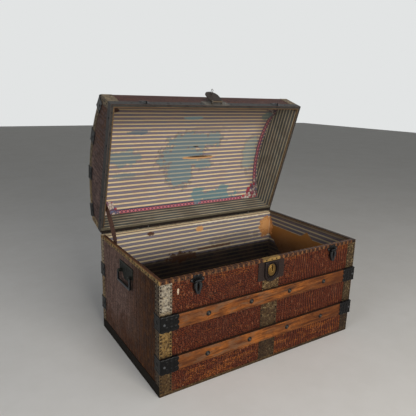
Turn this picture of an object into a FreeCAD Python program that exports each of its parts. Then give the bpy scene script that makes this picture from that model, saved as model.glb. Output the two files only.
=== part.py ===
import FreeCAD, Part
import math
import os
import re
import Sketcher

# Dome top trunk: a boarded box with a coopered, vaulted lid that swings on two back hinges.
#
# Frame: millimetres, +Z up. The origin is the middle of the footprint, on the ground. The front faces -Y,
# the ends face -X (left) and +X (right). The lid is built closed and then swung open about its hinge pins.

SIZES = {
    # the box, measured over its covering sheets
    "body_width": 860,
    "body_depth": 520,
    "body_height": 396,
    "board": 12,
    "floor_board": 10,
    "cover": 1,
    "paper": 0.6,
    "paper_drop": 5,
    # sheet-metal trim
    "trim": 1,
    "rim_edge": 12,
    "corner_front": 42,
    "corner_end": 28,
    "iron": 1.6,
    "iron_height": 38,
    "iron_foot": 30,
    "bottom_edge": 9,
    "bottom_foot": 20,
    "strip_width": 72,
    # wooden slats, their nails and their iron clamps
    "slat_width": 50,
    "slat_thick": 9,
    "slat_upper_drop": 140,
    "slat_lower": 111,
    "nail_radius": 9,
    "nail_rise": 5,
    "nail_pitch": 173,
    "clamp_wall": 3,
    "clamp_lip": 2,
    "clamp_front": 67,
    "clamp_side": 37,
    # lid
    "seam": 1,
    "collar_height": 100,
    "dome_rise": 78,
    "stave": 10,
    "stave_gap": 0.4,
    "band_height": 29,
    "edging_dome": 22,
    "edging_end": 26,
    "edging_lap": 38,
    "dome_slat_inner": 80,
    "dome_slat_outer": 226,
    "dome_clamp_lap": 60,
    "dome_clamp_drop": 34,
    "lid_open_angle": 72,
    # hinges
    "hinge_inset": 170,
    "leaf": 1.6,
    "leaf_width": 66,
    "leaf_height": 44,
    "barrel_radius": 4.5,
    "barrel_play": 0.4,
    "knuckle_gap": 0.4,
    "hinge_pin_radius": 2.2,
    "pin_play": 0.1,
    "through": 1,
    # stay strap
    "stay_depth": 145,
    "stay_drop": 15,
    "stay_rise": 22,
    "stay_plate": 3,
    "stay_plate_width": 30,
    "stay_plate_height": 22,
    "strap_width": 17,
    "strap_thick": 2.4,
    "soft_gap": 0.3,
    # lock
    "lock_width": 115,
    "lock_height": 68,
    "lock_drop": 45,
    "lock_plate": 1.5,
    "shoe_radius": 31,
    "shoe_inner": 20,
    "shoe_thick": 7,
    "shoe_drop": 10.5,
    "shoe_rise": 44,
    "face_radius": 16.5,
    "face_foot": 6,
    "face_length": 10.8,
    "face_thick": 5,
    "case_width": 64,
    "case_height": 58,
    "case_wall": 1.4,
    "bolt_length": 26,
    "bolt_height": 12,
    "bolt_thick": 5,
    "bolt_nose": 6,
    "bolt_nose_length": 12,
    "bolt_play": 0.3,
    # hasp
    "hasp_plate_width": 116,
    "hasp_plate_height": 42,
    "hasp_pivot": 15,
    "hasp_length": 70,
    "hasp_half_width": 29,
    "hasp_thick": 3,
    "hasp_neck": 19,
    "hasp_knuckle": 4.5,
    "hasp_pin_radius": 2,
    "hasp_ear": 4,
    "hasp_shoulder": 8,
    "hasp_gap": 0.8,
    "hasp_back_angle": 168,
    "staple_drop": 52,
    "staple_thick": 3,
    "staple_half": 6,
    "staple_depth": 10.8,
    "staple_wall": 2,
    "slot_half_width": 2.6,
    "slot_half_height": 12,
    # loop latches
    "latch_inset": 130,
    "latch_plate": 2,
    "latch_lobe": 15,
    "latch_lobe_height": 8,
    "latch_wing": 25,
    "latch_wing_height": 15,
    "latch_top_gap": 2,
    "latch_foot": 12,
    "latch_height": 38,
    "loop_drop": 20,
    "loop_out": 5.5,
    "loop_half": 10,
    "loop_neck": 5.4,
    "loop_shoulder": 15,
    "loop_straight": 20,
    "loop_toe": 8.5,
    "loop_toe_drop": 35,
    "loop_tip": 4.5,
    "loop_thick": 2.4,
    "loop_length": 42.5,
    "loop_knuckle": 3.5,
    "loop_slot_start": 7,
    "loop_slot_end": 31,
    "loop_slot_half": 3,
    "loop_slot_tip": 2.2,
    "latch_pin_radius": 1.8,
    "ear_thick": 3,
    "side_play": 0.4,
    "keeper_half": 18,
    "keeper_height": 36,
    "tooth_half": 1.7,
    "tooth_thick": 4,
    "tooth_clear": 0.5,
    "tooth_past": 2.5,
    # end handles
    "handle_drop": 34,
    "handle_half": 62,
    "handle_band": 40,
    "handle_plate": 2.5,
    "tongue_half": 35,
    "tongue_drop": 20,
    "tongue_taper": 12,
    "handle_eye": 45,
    "handle_eye_width": 9,
    "handle_eye_radius": 6,
    "handle_pivot_rise": 5,
    "handle_pivot_out": 7.5,
    "bail_radius": 4,
    "bail_pin_radius": 3,
    "bail_play": 0.3,
    "bail_drop": 38,
}

STAVE_COUNT = 9
NAILS_PER_SLAT = 4
LEFT, RIGHT = -1, 1
FRONT, BACK = -1, 1

# Planes and lines that several pieces share, as expressions of the sizes above
WOOD_X = "(body_width/2 - cover)"
INNER_X = "(body_width/2 - cover - board)"
WOOD_Y = "(body_depth/2 - cover)"
INNER_Y = "(body_depth/2 - cover - board)"
TRIM_X = "(body_width/2 + trim)"
TRIM_Y = "(body_depth/2 + trim)"
FLOOR_TOP = "(iron + floor_board)"
WOOD_TOP = "(body_height - trim)"
LID_RIM = "(body_height + seam)"
DOME_RADIUS = "((body_depth^2/4 + dome_rise^2)/(2*dome_rise))"
DOME_CENTRE = f"({LID_RIM} + collar_height + dome_rise - {DOME_RADIUS})"
DOME_CEILING = f"({LID_RIM} + collar_height + dome_rise + slat_thick + clamp_wall + trim)"
HINGE = (f"({TRIM_Y} + barrel_play + barrel_radius)", "(body_height + seam/2)")
SHOE_FRONT = f"({TRIM_Y} + lock_plate + shoe_thick)"
HASP_PIVOT = (f"(-({SHOE_FRONT} + hasp_gap + hasp_thick/2))", f"({LID_RIM} + hasp_pivot)")
STAPLE_HEIGHT = f"({LID_RIM} + hasp_pivot - staple_drop)"
LOOP_OUT = f"({TRIM_Y} + latch_plate + loop_out)"
LOOP_HEIGHT = "(body_height - latch_top_gap - loop_drop)"
UPPER_SLAT = "(body_height - slat_upper_drop)"
LOCK_CENTRE = "(body_height - lock_drop)"
SHOE_ARC = f"({LOCK_CENTRE} - shoe_drop)"
FACE_FOOT = f"({SHOE_ARC} + face_foot)"
HANDLE_TOP = "(body_height - handle_drop)"
HANDLE_OUT = "(body_width/2 + handle_plate + handle_pivot_out)"
HANDLE_HEIGHT = f"({HANDLE_TOP} - handle_band + handle_pivot_rise)"
STAY_FACE = f"({INNER_X} - paper - stay_plate)"

doc = FreeCAD.newDocument("dome_top_trunk")
sheet = doc.addObject("Spreadsheet::Sheet", "sizes")
for row, (alias, size) in enumerate(SIZES.items(), start=1):
    sheet.set(f"A{row}", alias)
    sheet.set(f"B{row}", str(size))
    sheet.setAlias(f"B{row}", alias)
doc.recompute()

nodes = []


# ---------------------------------------------------------------- building blocks

def bound(text):
    """An expression with each size in it referred to its cell in the sheet."""
    return re.sub(r"[a-z_]+", lambda word: f"sizes.{word[0]}" if word[0] in SIZES else word[0], text)


def outward(side, near, far):
    """The span between two distances from the middle plane, on one side of it."""
    return (near, far) if side > 0 else (f"-({far})", f"-({near})")


def about(centre, half):
    """The span of a given half width about a centre."""
    return (f"{centre} - ({half})", f"{centre} + ({half})")


def block(x, y, z):
    """A box given by its span along each axis."""
    box = doc.addObject("Part::Box", "block")
    for length, axis, (low, high) in zip(("Length", "Width", "Height"), "xyz", (x, y, z)):
        box.setExpression(length, bound(f"({high}) - ({low})"))
        box.setExpression(f"Placement.Base.{axis}", bound(low))
    return box


def rod(axis, span, centre, radius):
    """A round bar along one axis; centre gives its place along the other two, in order."""
    bar = doc.addObject("Part::Cylinder", "rod")
    turn = {"x": (FreeCAD.Vector(0, 1, 0), 90), "y": (FreeCAD.Vector(-1, 0, 0), 90),
            "z": (FreeCAD.Vector(0, 0, 1), 0)}[axis]
    bar.Placement = FreeCAD.Placement(FreeCAD.Vector(), FreeCAD.Rotation(*turn))
    low, high = span
    bar.setExpression("Radius", bound(radius))
    bar.setExpression("Height", bound(f"({high}) - ({low})"))
    places = dict(zip([name for name in "xyz" if name != axis], centre))
    places[axis] = low
    for name, text in places.items():
        bar.setExpression(f"Placement.Base.{name}", bound(text))
    return bar


def ball(centre, radius):
    """A sphere."""
    sphere = doc.addObject("Part::Sphere", "ball")
    sphere.setExpression("Radius", bound(radius))
    for axis, text in zip("xyz", centre):
        sphere.setExpression(f"Placement.Base.{axis}", bound(text))
    return sphere


def group(*parts):
    """Separate solids held together as one piece of the model."""
    compound = doc.addObject("Part::Compound", "group")
    compound.Links = list(parts)
    return compound


def cut(base, *tools):
    """The base with every tool taken out of it."""
    result = doc.addObject("Part::Cut", "cut")
    result.Base = base
    result.Tool = tools[0] if len(tools) == 1 else group(*tools)
    return result


def fuse(*parts):
    """The parts joined into one solid."""
    result = doc.addObject("Part::MultiFuse", "fuse")
    result.Shapes = list(parts)
    return result


def common(first, second):
    """What the two parts share."""
    result = doc.addObject("Part::MultiCommon", "common")
    result.Shapes = [first, second]
    return result


def turned(parts, angle, pivot):
    """The parts swung about a line along X through pivot (y, z): what lies in front of it goes up."""
    holder = group(*parts)
    y, z = pivot
    holder.Placement = FreeCAD.Placement(FreeCAD.Vector(), FreeCAD.Rotation(FreeCAD.Vector(-1, 0, 0), 1))
    holder.setExpression("Placement.Rotation.Angle", bound(angle))
    holder.setExpression("Placement.Base.y", bound(f"{y} - {y}*cos({angle}) - {z}*sin({angle})"))
    holder.setExpression("Placement.Base.z", bound(f"{z} + {y}*sin({angle}) - {z}*cos({angle})"))
    return holder


def plate(plane, corners, span):
    """A padded outline: corners lie in an origin plane, span runs along that plane's normal."""
    body = doc.addObject("PartDesign::Body", "plate")
    sketch = body.newObject("Sketcher::SketchObject", "outline")
    base = next(item for item in body.Origin.OriginFeatures if item.Role == plane)
    sketch.AttachmentSupport = (base, [""])
    sketch.MapMode = "FlatFace"
    count = len(corners)
    start = [FreeCAD.Vector(math.cos(math.tau*k/count), math.sin(math.tau*k/count), 0) for k in range(count)]
    for k in range(count):
        sketch.addGeometry(Part.LineSegment(start[k], start[(k + 1) % count]), False)
    for k in range(count):
        sketch.addConstraint(Sketcher.Constraint("Coincident", k, 2, (k + 1) % count, 1))
    for k, corner in enumerate(corners):
        for kind, place, text in zip(("DistanceX", "DistanceY"), start[k], corner):
            index = sketch.addConstraint(Sketcher.Constraint(kind, -1, 1, k, 1, place))
            sketch.setExpression(f"Constraints[{index}]", bound(text))
    low, high = span
    sketch.setExpression("AttachmentOffset.Base.z", bound(low))
    pad = body.newObject("PartDesign::Pad", "pad")
    pad.Profile = sketch
    pad.setExpression("Length", bound(f"({high}) - ({low})"))
    return body


def node(name, *parts):
    """Names a finished sub-part that stays on the body."""
    piece = parts[0] if len(parts) == 1 else group(*parts)
    piece.Label = name
    nodes.append(piece)


def lid_node(name, *parts):
    """Names a finished sub-part of the lid: built closed, swung open about the hinge pins."""
    piece = turned(parts, "lid_open_angle", HINGE)
    piece.Label = name
    nodes.append(piece)


# ---------------------------------------------------------------- the box

def make_boards():
    """Front and back run the full width; the ends and the bottom stand between them."""
    full_x, between_x = (f"-{WOOD_X}", WOOD_X), (f"-{INNER_X}", INNER_X)
    between_y = (f"-{INNER_Y}", INNER_Y)
    upright = ("iron", WOOD_TOP)
    front = block(full_x, outward(FRONT, INNER_Y, WOOD_Y), upright)
    node("front_board", cut(front, lock_mortise()))
    node("back_board", block(full_x, outward(BACK, INNER_Y, WOOD_Y), upright))
    for side, name in ((LEFT, "left_end_board"), (RIGHT, "right_end_board")):
        node(name, block(outward(side, INNER_X, WOOD_X), between_y, upright))
    bottom = block(between_x, between_y, ("0", FLOOR_TOP))
    feet = [iron_foot(side) for side in (LEFT, RIGHT)] + [edge_foot(face) for face in (FRONT, BACK)]
    node("bottom_board", cut(bottom, *feet))


def iron_foot(side):
    """The foot of a base iron, let in flush under the box."""
    return block(outward(side, "body_width/2 - iron_foot", "body_width/2"),
                 ("-body_depth/2", "body_depth/2"), ("0", "iron"))


def edge_foot(face):
    """The foot of the bottom edging, let in flush between the base irons."""
    return block(("iron_foot - body_width/2", "body_width/2 - iron_foot"),
                 outward(face, "body_depth/2 - bottom_foot", "body_depth/2"), ("0", "iron"))


def lock_mortise():
    """The hole through the front board and its cover that takes the lock case."""
    return block(about("0", "case_width/2"), outward(FRONT, INNER_Y, "body_depth/2"),
                 about(LOCK_CENTRE, "case_height/2"))


def make_covers():
    """One sheet on each face of the box."""
    full_x = ("-body_width/2", "body_width/2")
    upright = ("iron", WOOD_TOP)
    front = block(full_x, outward(FRONT, WOOD_Y, "body_depth/2"), upright)
    node("front_cover", cut(front, lock_mortise()))
    node("back_cover", block(full_x, outward(BACK, WOOD_Y, "body_depth/2"), upright))
    for side, name in ((LEFT, "left_end_cover"), (RIGHT, "right_end_cover")):
        node(name, block(outward(side, WOOD_X, "body_width/2"), (f"-{WOOD_Y}", WOOD_Y), upright))


def make_lining():
    """Paper on the four walls and the floor, stopping short of the rim."""
    inner_x, inner_y = (f"-{INNER_X}", INNER_X), (f"-({INNER_Y} - paper)", f"{INNER_Y} - paper")
    upright = (f"{FLOOR_TOP} + paper", f"{WOOD_TOP} - paper_drop")
    walls = [block(inner_x, outward(side, f"{INNER_Y} - paper", INNER_Y), upright) for side in (FRONT, BACK)]
    walls += [block(outward(side, f"{INNER_X} - paper", INNER_X), inner_y, upright) for side in (LEFT, RIGHT)]
    floor = block(inner_x, (f"-{INNER_Y}", INNER_Y), (FLOOR_TOP, f"{FLOOR_TOP} + paper"))
    node("body_lining", *walls, floor)


def make_corner_edgings():
    """Tin angles down the four upright corners, butted under the rim edging."""
    top = "body_height - rim_edge"
    for face, name in ((FRONT, "front_corner_edgings"), (BACK, "back_corner_edgings")):
        angles = []
        for side in (LEFT, RIGHT):
            on_face = block(outward(side, "body_width/2 - corner_front", "body_width/2"),
                            outward(face, "body_depth/2", TRIM_Y), ("bottom_edge", top))
            on_end = block(outward(side, "body_width/2", TRIM_X),
                           outward(face, "body_depth/2 - corner_end", TRIM_Y), ("iron_height", top))
            angles.append(fuse(on_face, on_end))
        node(name, *angles)


def make_rim_edging():
    """Tin angles over the rim: a leg down the outside and a leg across the board's top edge."""
    strips = []
    for face in (FRONT, BACK):
        whole = block((f"-{TRIM_X}", TRIM_X), outward(face, INNER_Y, TRIM_Y),
                      ("body_height - rim_edge", "body_height"))
        inside = block(("-body_width/2", "body_width/2"), outward(face, f"{INNER_Y} - trim", "body_depth/2"),
                       ("body_height - 2*rim_edge", WOOD_TOP))
        strips.append(cut(whole, inside))
    for side in (LEFT, RIGHT):
        whole = block(outward(side, INNER_X, TRIM_X), (f"-{INNER_Y}", INNER_Y),
                      ("body_height - rim_edge", "body_height"))
        inside = block(outward(side, f"{INNER_X} - trim", "body_width/2"), ("-body_depth/2", "body_depth/2"),
                       ("body_height - 2*rim_edge", WOOD_TOP))
        strips.append(cut(whole, inside))
    node("body_rim_edging", *strips)


def make_bottom_trim():
    """Angle irons along the bottom of the ends, and thin angles along the front and back."""
    irons = []
    for side in (LEFT, RIGHT):
        upright = block(outward(side, "body_width/2", "body_width/2 + iron"),
                        ("-body_depth/2", "body_depth/2"), ("0", "iron_height"))
        irons.append(fuse(upright, iron_foot(side)))
    node("base_irons", *irons)
    edges = []
    for face in (FRONT, BACK):
        upright = block(("-body_width/2", "body_width/2"), outward(face, "body_depth/2", TRIM_Y),
                        ("0", "bottom_edge"))
        edges.append(fuse(upright, edge_foot(face)))
    node("bottom_edging", *edges)


# ---------------------------------------------------------------- slats of the box

SLAT_FACE = f"({TRIM_Y} + slat_thick)"


def body_slat(face, height):
    """A slat across one face, lying on the trim."""
    return block(("-body_width/2", "body_width/2"), outward(face, TRIM_Y, SLAT_FACE),
                 about(height, "slat_width/2"))


def body_clamp(face, side, height):
    """An iron cap over a slat's end, with a leg round the corner."""
    rows = about(height, "slat_width/2 + clamp_lip")
    cap = block(outward(side, "body_width/2 - clamp_front", f"{TRIM_X} + clamp_wall"),
                outward(face, TRIM_Y, f"{SLAT_FACE} + clamp_wall"), rows)
    leg = block(outward(side, TRIM_X, f"{TRIM_X} + clamp_wall"),
                outward(face, "body_depth/2 - clamp_side", f"{SLAT_FACE} + clamp_wall"), rows)
    room = block(outward(side, "body_width/2 - 2*clamp_front", TRIM_X),
                 outward(face, "body_depth/2 - slat_thick", SLAT_FACE), about(height, "slat_width/2"))
    return cut(fuse(cap, leg), room)


def nail_places():
    """Distances of a slat's nails from the middle, evenly pitched."""
    middle = (NAILS_PER_SLAT - 1)/2
    return [f"nail_pitch*({k - middle})" for k in range(NAILS_PER_SLAT)]


def nail_head(x, turn):
    """A domed head that stands on z = 0 before it is placed."""
    head = doc.addObject("Part::Ellipsoid", "nail")
    head.Angle1 = 0
    for name, size in (("Radius1", "nail_rise"), ("Radius2", "nail_radius"), ("Radius3", "nail_radius")):
        head.setExpression(name, bound(size))
    head.Placement = FreeCAD.Placement(FreeCAD.Vector(), FreeCAD.Rotation(FreeCAD.Vector(1, 0, 0), turn))
    head.setExpression("Placement.Base.x", bound(x))
    return head


def body_nail(face, x, height):
    """A nail head on a slat of the front or the back."""
    head = nail_head(x, 90 if face == FRONT else -90)
    head.setExpression("Placement.Base.y", bound(f"{face}*{SLAT_FACE}"))
    head.setExpression("Placement.Base.z", bound(height))
    return head


def make_body_slats():
    """Two slats on the front and two on the back, each nailed and clamped at its ends."""
    heights = (UPPER_SLAT, "slat_lower")
    for face, name in ((FRONT, "front"), (BACK, "back")):
        node(f"{name}_slats", *[body_slat(face, height) for height in heights])
        node(f"{name}_slat_clamps",
             *[body_clamp(face, side, height) for side in (LEFT, RIGHT) for height in heights])
    node("body_slat_nails", *[body_nail(face, x, height) for face in (FRONT, BACK)
                              for height in heights for x in nail_places()])


# ---------------------------------------------------------------- lock

def shoe_solid(near, far):
    """A solid with a round bottom, straight sides and a flat top."""
    bowl = rod("y", outward(FRONT, near, far), ("0", SHOE_ARC), "shoe_radius")
    sides = block(about("0", "shoe_radius"), outward(FRONT, near, far), (SHOE_ARC, f"{SHOE_ARC} + shoe_rise"))
    return fuse(bowl, sides)


def face_solid(radius, near, far):
    """An upright solid with both its ends round, inside the horseshoe."""
    top = f"{FACE_FOOT} + face_length"
    ends = [rod("y", outward(FRONT, near, far), ("0", height), radius) for height in (FACE_FOOT, top)]
    return fuse(*ends, block(about("0", radius), outward(FRONT, near, far), (FACE_FOOT, top)))


def staple_slot(near, far):
    """The slot that lets the hasp's staple through."""
    return block(about("0", "slot_half_width"), outward(FRONT, near, far),
                 about(STAPLE_HEIGHT, "slot_half_height"))


def make_lock():
    """Plate, horseshoe casting, brass face, case behind them and the bolt that slides in it."""
    plate_front = f"{TRIM_Y} + lock_plate"
    strip = block(about("0", "strip_width/2"), outward(FRONT, "body_depth/2", TRIM_Y),
                  ("bottom_edge", "body_height - rim_edge"))
    node("front_centre_strip", cut(strip, staple_slot("body_depth/2 - trim", f"{TRIM_Y} + trim")))
    backing = block(about("0", "lock_width/2"), outward(FRONT, TRIM_Y, plate_front),
                    about(LOCK_CENTRE, "lock_height/2"))
    node("lock_plate", cut(backing, staple_slot(f"{TRIM_Y} - trim", f"{plate_front} + trim")))
    node("lock_horseshoe", cut(shoe_solid(plate_front, SHOE_FRONT),
                               face_solid("shoe_inner", f"{plate_front} - trim", f"{SHOE_FRONT} + trim")))
    face_front = f"{plate_front} + face_thick"
    node("lock_face", cut(face_solid("face_radius", plate_front, face_front),
                          staple_slot(f"{plate_front} - trim", f"{face_front} + trim")))
    make_lock_case()


CASE_BACK = f"({INNER_Y} + bolt_play)"
EYE_BACK = "(body_depth/2 - staple_depth + staple_wall)"
EYE_FRONT = f"({EYE_BACK} + bolt_thick + 2*bolt_play)"


def make_lock_case():
    """The case fills the mortise; a channel across it carries the bolt past the staple's pocket."""
    solid = block(about("0", "case_width/2 - bolt_play"), outward(FRONT, CASE_BACK, "body_depth/2"),
                  about(LOCK_CENTRE, "case_height/2 - bolt_play"))
    channel = block(about("0", "case_width/2 - case_wall"), outward(FRONT, EYE_BACK, EYE_FRONT),
                    about(STAPLE_HEIGHT, "bolt_height/2 + bolt_play"))
    pocket = staple_slot(f"{CASE_BACK} + case_wall", "body_depth/2 + trim")
    node("lock_case", cut(solid, channel, pocket))
    nose_tip = "(-slot_half_width - bolt_play)"
    nose_root = "(-slot_half_width - bolt_play - bolt_nose_length)"
    depth = outward(FRONT, f"{EYE_BACK} + bolt_play", f"{EYE_FRONT} - bolt_play")
    tail = block((f"{nose_tip} - bolt_length", nose_root), depth, about(STAPLE_HEIGHT, "bolt_height/2"))
    nose = block((nose_root, nose_tip), depth, about(STAPLE_HEIGHT, "bolt_nose/2"))
    node("lock_bolt", fuse(tail, nose))


# ---------------------------------------------------------------- latches on the front

def mirrored(half):
    """A closed outline from the corners of its right half, top to bottom."""
    return list(half) + [(f"-({x})", z) for x, z in reversed(half)]


def shifted(corners, middle):
    """An outline moved sideways."""
    return [(f"{middle} + {x}", z) for x, z in corners]


def latch_middle(side):
    """Where a latch and its keeper sit along the front."""
    return f"({side}*(body_width/2 - latch_inset))"


def make_latches():
    """Two latches: a winged base with ears, and a slotted lever that hangs from its pin."""
    bases = []
    for side, name in ((LEFT, "left"), (RIGHT, "right")):
        middle = latch_middle(side)
        bases += latch_base(middle)
        node(f"{name}_latch_loop", latch_loop(middle))
    node("latch_bases", *bases)


def latch_base(middle):
    """A plate with a wing at each side, two ears and the pin that joins them."""
    top = "(body_height - latch_top_gap)"
    wing_top = f"{top} - latch_lobe_height"
    wing_foot = f"{wing_top} - latch_wing_height"
    half = [("latch_lobe", top), ("latch_lobe", wing_top), ("latch_wing", wing_top), ("latch_wing", wing_foot),
            ("latch_foot", wing_foot), ("latch_foot", f"{top} - latch_height")]
    shield = plate("XZ_Plane", shifted(mirrored(half), middle), (TRIM_Y, f"{TRIM_Y} + latch_plate"))
    ears = []
    for side in (LEFT, RIGHT):
        low, high = outward(side, "loop_half + side_play", "loop_half + side_play + ear_thick")
        span = (f"{middle} + {low}", f"{middle} + {high}")
        ears.append(block(span, outward(FRONT, f"{TRIM_Y} + latch_plate/2", LOOP_OUT),
                          about(LOOP_HEIGHT, "loop_knuckle")))
        ears.append(rod("x", span, (f"-{LOOP_OUT}", LOOP_HEIGHT), "loop_knuckle"))
    reach = "loop_half + side_play + ear_thick"
    hole = rod("x", about(middle, f"{reach} + through"), (f"-{LOOP_OUT}", LOOP_HEIGHT), "latch_pin_radius")
    pin = rod("x", about(middle, reach), (f"-{LOOP_OUT}", LOOP_HEIGHT), "latch_pin_radius")
    return [cut(fuse(shield, *ears), hole), pin]


def latch_loop(middle):
    """A broad slotted lever with a knuckle at the top; thrown up, its slot drops over the keeper's tooth."""
    neck = f"{LOOP_HEIGHT} - loop_neck"
    half = [("loop_half", LOOP_HEIGHT), ("loop_half", neck), ("loop_shoulder", neck),
            ("loop_shoulder", f"{LOOP_HEIGHT} - loop_straight"), ("loop_toe", f"{LOOP_HEIGHT} - loop_toe_drop"),
            ("loop_tip", f"{LOOP_HEIGHT} - loop_length")]
    hollow = [("loop_slot_half", f"{LOOP_HEIGHT} - loop_slot_start"),
              ("loop_slot_tip", f"{LOOP_HEIGHT} - loop_slot_end")]
    strip = plate("XZ_Plane", shifted(mirrored(half), middle),
                  (f"{LOOP_OUT} - loop_thick/2", f"{LOOP_OUT} + loop_thick/2"))
    slot = plate("XZ_Plane", shifted(mirrored(hollow), middle),
                 (f"{LOOP_OUT} - loop_thick", f"{LOOP_OUT} + loop_thick"))
    knuckle = rod("x", about(middle, "loop_half"), (f"-{LOOP_OUT}", LOOP_HEIGHT), "loop_knuckle")
    hole = rod("x", about(middle, "loop_half + through"), (f"-{LOOP_OUT}", LOOP_HEIGHT),
               "latch_pin_radius + pin_play")
    return cut(fuse(strip, knuckle), slot, hole)


def make_keepers():
    """On the lid, a nailed plate with a tooth that fills the far end of the thrown loop's slot."""
    tooth_top = f"({LOOP_HEIGHT} + loop_slot_end - tooth_clear)"
    keepers = []
    for side in (LEFT, RIGHT):
        middle = latch_middle(side)
        base = block(about(middle, "keeper_half"), outward(FRONT, TRIM_Y, f"{TRIM_Y} + latch_plate"),
                     (LID_RIM, f"{LID_RIM} + keeper_height"))
        tooth = block(about(middle, "tooth_half"),
                      outward(FRONT, TRIM_Y, f"{LOOP_OUT} + loop_thick/2 + tooth_past"),
                      (f"{tooth_top} - tooth_thick", tooth_top))
        keepers.append(fuse(base, tooth))
    lid_node("latch_keepers", *keepers)


# ---------------------------------------------------------------- handles on the ends

def make_handles():
    """On each end an iron plate with two eyes, and a bail that hangs from them."""
    plates = []
    for side, name in ((LEFT, "left"), (RIGHT, "right")):
        plates.append(handle_plate(side))
        node(f"{name}_handle_bail", handle_bail(side))
    node("handle_plates", *plates)


def handle_plate(side):
    """A plate with a tapered tongue below and an eye at each lower corner."""
    bottom = f"({HANDLE_TOP} - handle_band)"
    half = [("handle_half", HANDLE_TOP), ("handle_half", bottom), ("tongue_half", bottom),
            ("tongue_half - tongue_taper", f"{bottom} - tongue_drop")]
    corners = list(half) + [(f"-({y})", z) for y, z in reversed(half)]
    sheet_iron = plate("YZ_Plane", corners, outward(side, "body_width/2", "body_width/2 + handle_plate"))
    eyes = []
    for place in ("-handle_eye", "handle_eye"):
        span = about(place, "handle_eye_width/2")
        eyes.append(block(outward(side, "body_width/2", HANDLE_OUT), span,
                          about(HANDLE_HEIGHT, "handle_eye_radius")))
        eyes.append(rod("y", span, (f"{side}*{HANDLE_OUT}", HANDLE_HEIGHT), "handle_eye_radius"))
    hole = rod("y", about("0", "handle_half"), (f"{side}*{HANDLE_OUT}", HANDLE_HEIGHT),
               "bail_pin_radius + bail_play")
    return cut(fuse(sheet_iron, *eyes), hole)


def handle_bail(side):
    """A round-bar loop: two pins turned into the eyes, two legs and the grip between them."""
    out, low = f"{side}*{HANDLE_OUT}", f"({HANDLE_HEIGHT} - bail_drop)"
    leg_y = "(handle_eye + handle_eye_width/2 + side_play + bail_radius)"
    bars = [rod("y", (f"-{leg_y}", leg_y), (out, low), "bail_radius")]
    for face in (FRONT, BACK):
        place = f"{face}*{leg_y}"
        bars.append(rod("z", (low, HANDLE_HEIGHT), (out, place), "bail_radius"))
        bars.append(ball((out, place, low), "bail_radius"))
        bars.append(ball((out, place, HANDLE_HEIGHT), "bail_radius"))
        bars.append(rod("y", outward(face, "handle_eye - handle_eye_width/2", leg_y),
                        (out, HANDLE_HEIGHT), "bail_pin_radius"))
    return fuse(*bars)


# ---------------------------------------------------------------- lid

def vault(inset, side_inset, x, floor):
    """The solid under the vault: its walls and its arch are set in from the outside of the covers."""
    walls = block(x, (f"-(body_depth/2 - ({side_inset}))", f"body_depth/2 - ({side_inset})"),
                  (floor, DOME_CEILING))
    arch = rod("x", x, ("0", DOME_CENTRE), f"{DOME_RADIUS} - ({inset})")
    return common(walls, arch)


def under_arch(walls, x, inset):
    """What of some upright walls lies under the arch, set in from its outside."""
    return common(walls, rod("x", x, ("0", DOME_CENTRE), f"{DOME_RADIUS} - ({inset})"))


def make_lid_boards():
    """D-shaped ends the full depth, collar boards between them and staves laid on the collar boards."""
    for side, name in ((LEFT, "lid_left_end_board"), (RIGHT, "lid_right_end_board")):
        lid_node(name, vault("cover", "cover", outward(side, INNER_X, WOOD_X), LID_RIM))
    between = (f"-{INNER_X}", INNER_X)
    for face, name in ((FRONT, "lid_front_board"), (BACK, "lid_back_board")):
        wall = block(between, outward(face, INNER_Y, WOOD_Y), (LID_RIM, DOME_CEILING))
        lid_node(name, under_arch(wall, between, "cover + stave"))
    shell = cut(vault("cover", "cover", between, LID_RIM),
                rod("x", between, ("0", DOME_CENTRE), f"{DOME_RADIUS} - cover - stave"))
    half_angle = f"asin({WOOD_Y}/({DOME_RADIUS} - cover))"
    gaps = []
    for joint in range(1, STAVE_COUNT):
        slit = block(between, about("0", "stave_gap/2"), (DOME_CENTRE, DOME_CEILING))
        share = 2*joint/STAVE_COUNT - 1
        gaps.append(turned([slit], f"({half_angle}*({share}))", ("0", DOME_CENTRE)))
    lid_node("lid_staves", cut(shell, *gaps))


def make_lid_covers():
    """Sheets on the dome, the two collar faces and the two ends."""
    across = ("-body_width/2", "body_width/2")
    shell = cut(vault("0", "0", across, LID_RIM),
                rod("x", across, ("0", DOME_CENTRE), f"{DOME_RADIUS} - cover"))
    lid_node("lid_dome_cover", shell)
    collars = []
    for face in (FRONT, BACK):
        wall = block(across, outward(face, WOOD_Y, "body_depth/2"), (LID_RIM, DOME_CEILING))
        collars.append(under_arch(wall, across, "cover"))
    lid_node("lid_collar_covers", *collars)
    lid_node("lid_end_covers", *[vault("cover", "cover", outward(side, WOOD_X, "body_width/2"), LID_RIM)
                                 for side in (LEFT, RIGHT)])


def make_lid_lining():
    """Paper inside the vault, stopping short of the rim."""
    start = f"{LID_RIM} + paper_drop"
    between = (f"-({INNER_X} - paper)", f"{INNER_X} - paper")
    shell = cut(vault("cover + stave", "cover + board", between, start),
                rod("x", between, ("0", DOME_CENTRE), f"{DOME_RADIUS} - cover - stave - paper"))
    lid_node("lid_dome_lining", shell)
    walls = []
    for face in (FRONT, BACK):
        wall = block(between, outward(face, f"{INNER_Y} - paper", INNER_Y), (start, DOME_CEILING))
        walls.append(under_arch(wall, between, "cover + stave + paper"))
    for side in (LEFT, RIGHT):
        walls.append(vault("cover + stave", "cover + board", outward(side, f"{INNER_X} - paper", INNER_X),
                           start))
    lid_node("lid_wall_lining", *walls)


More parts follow.
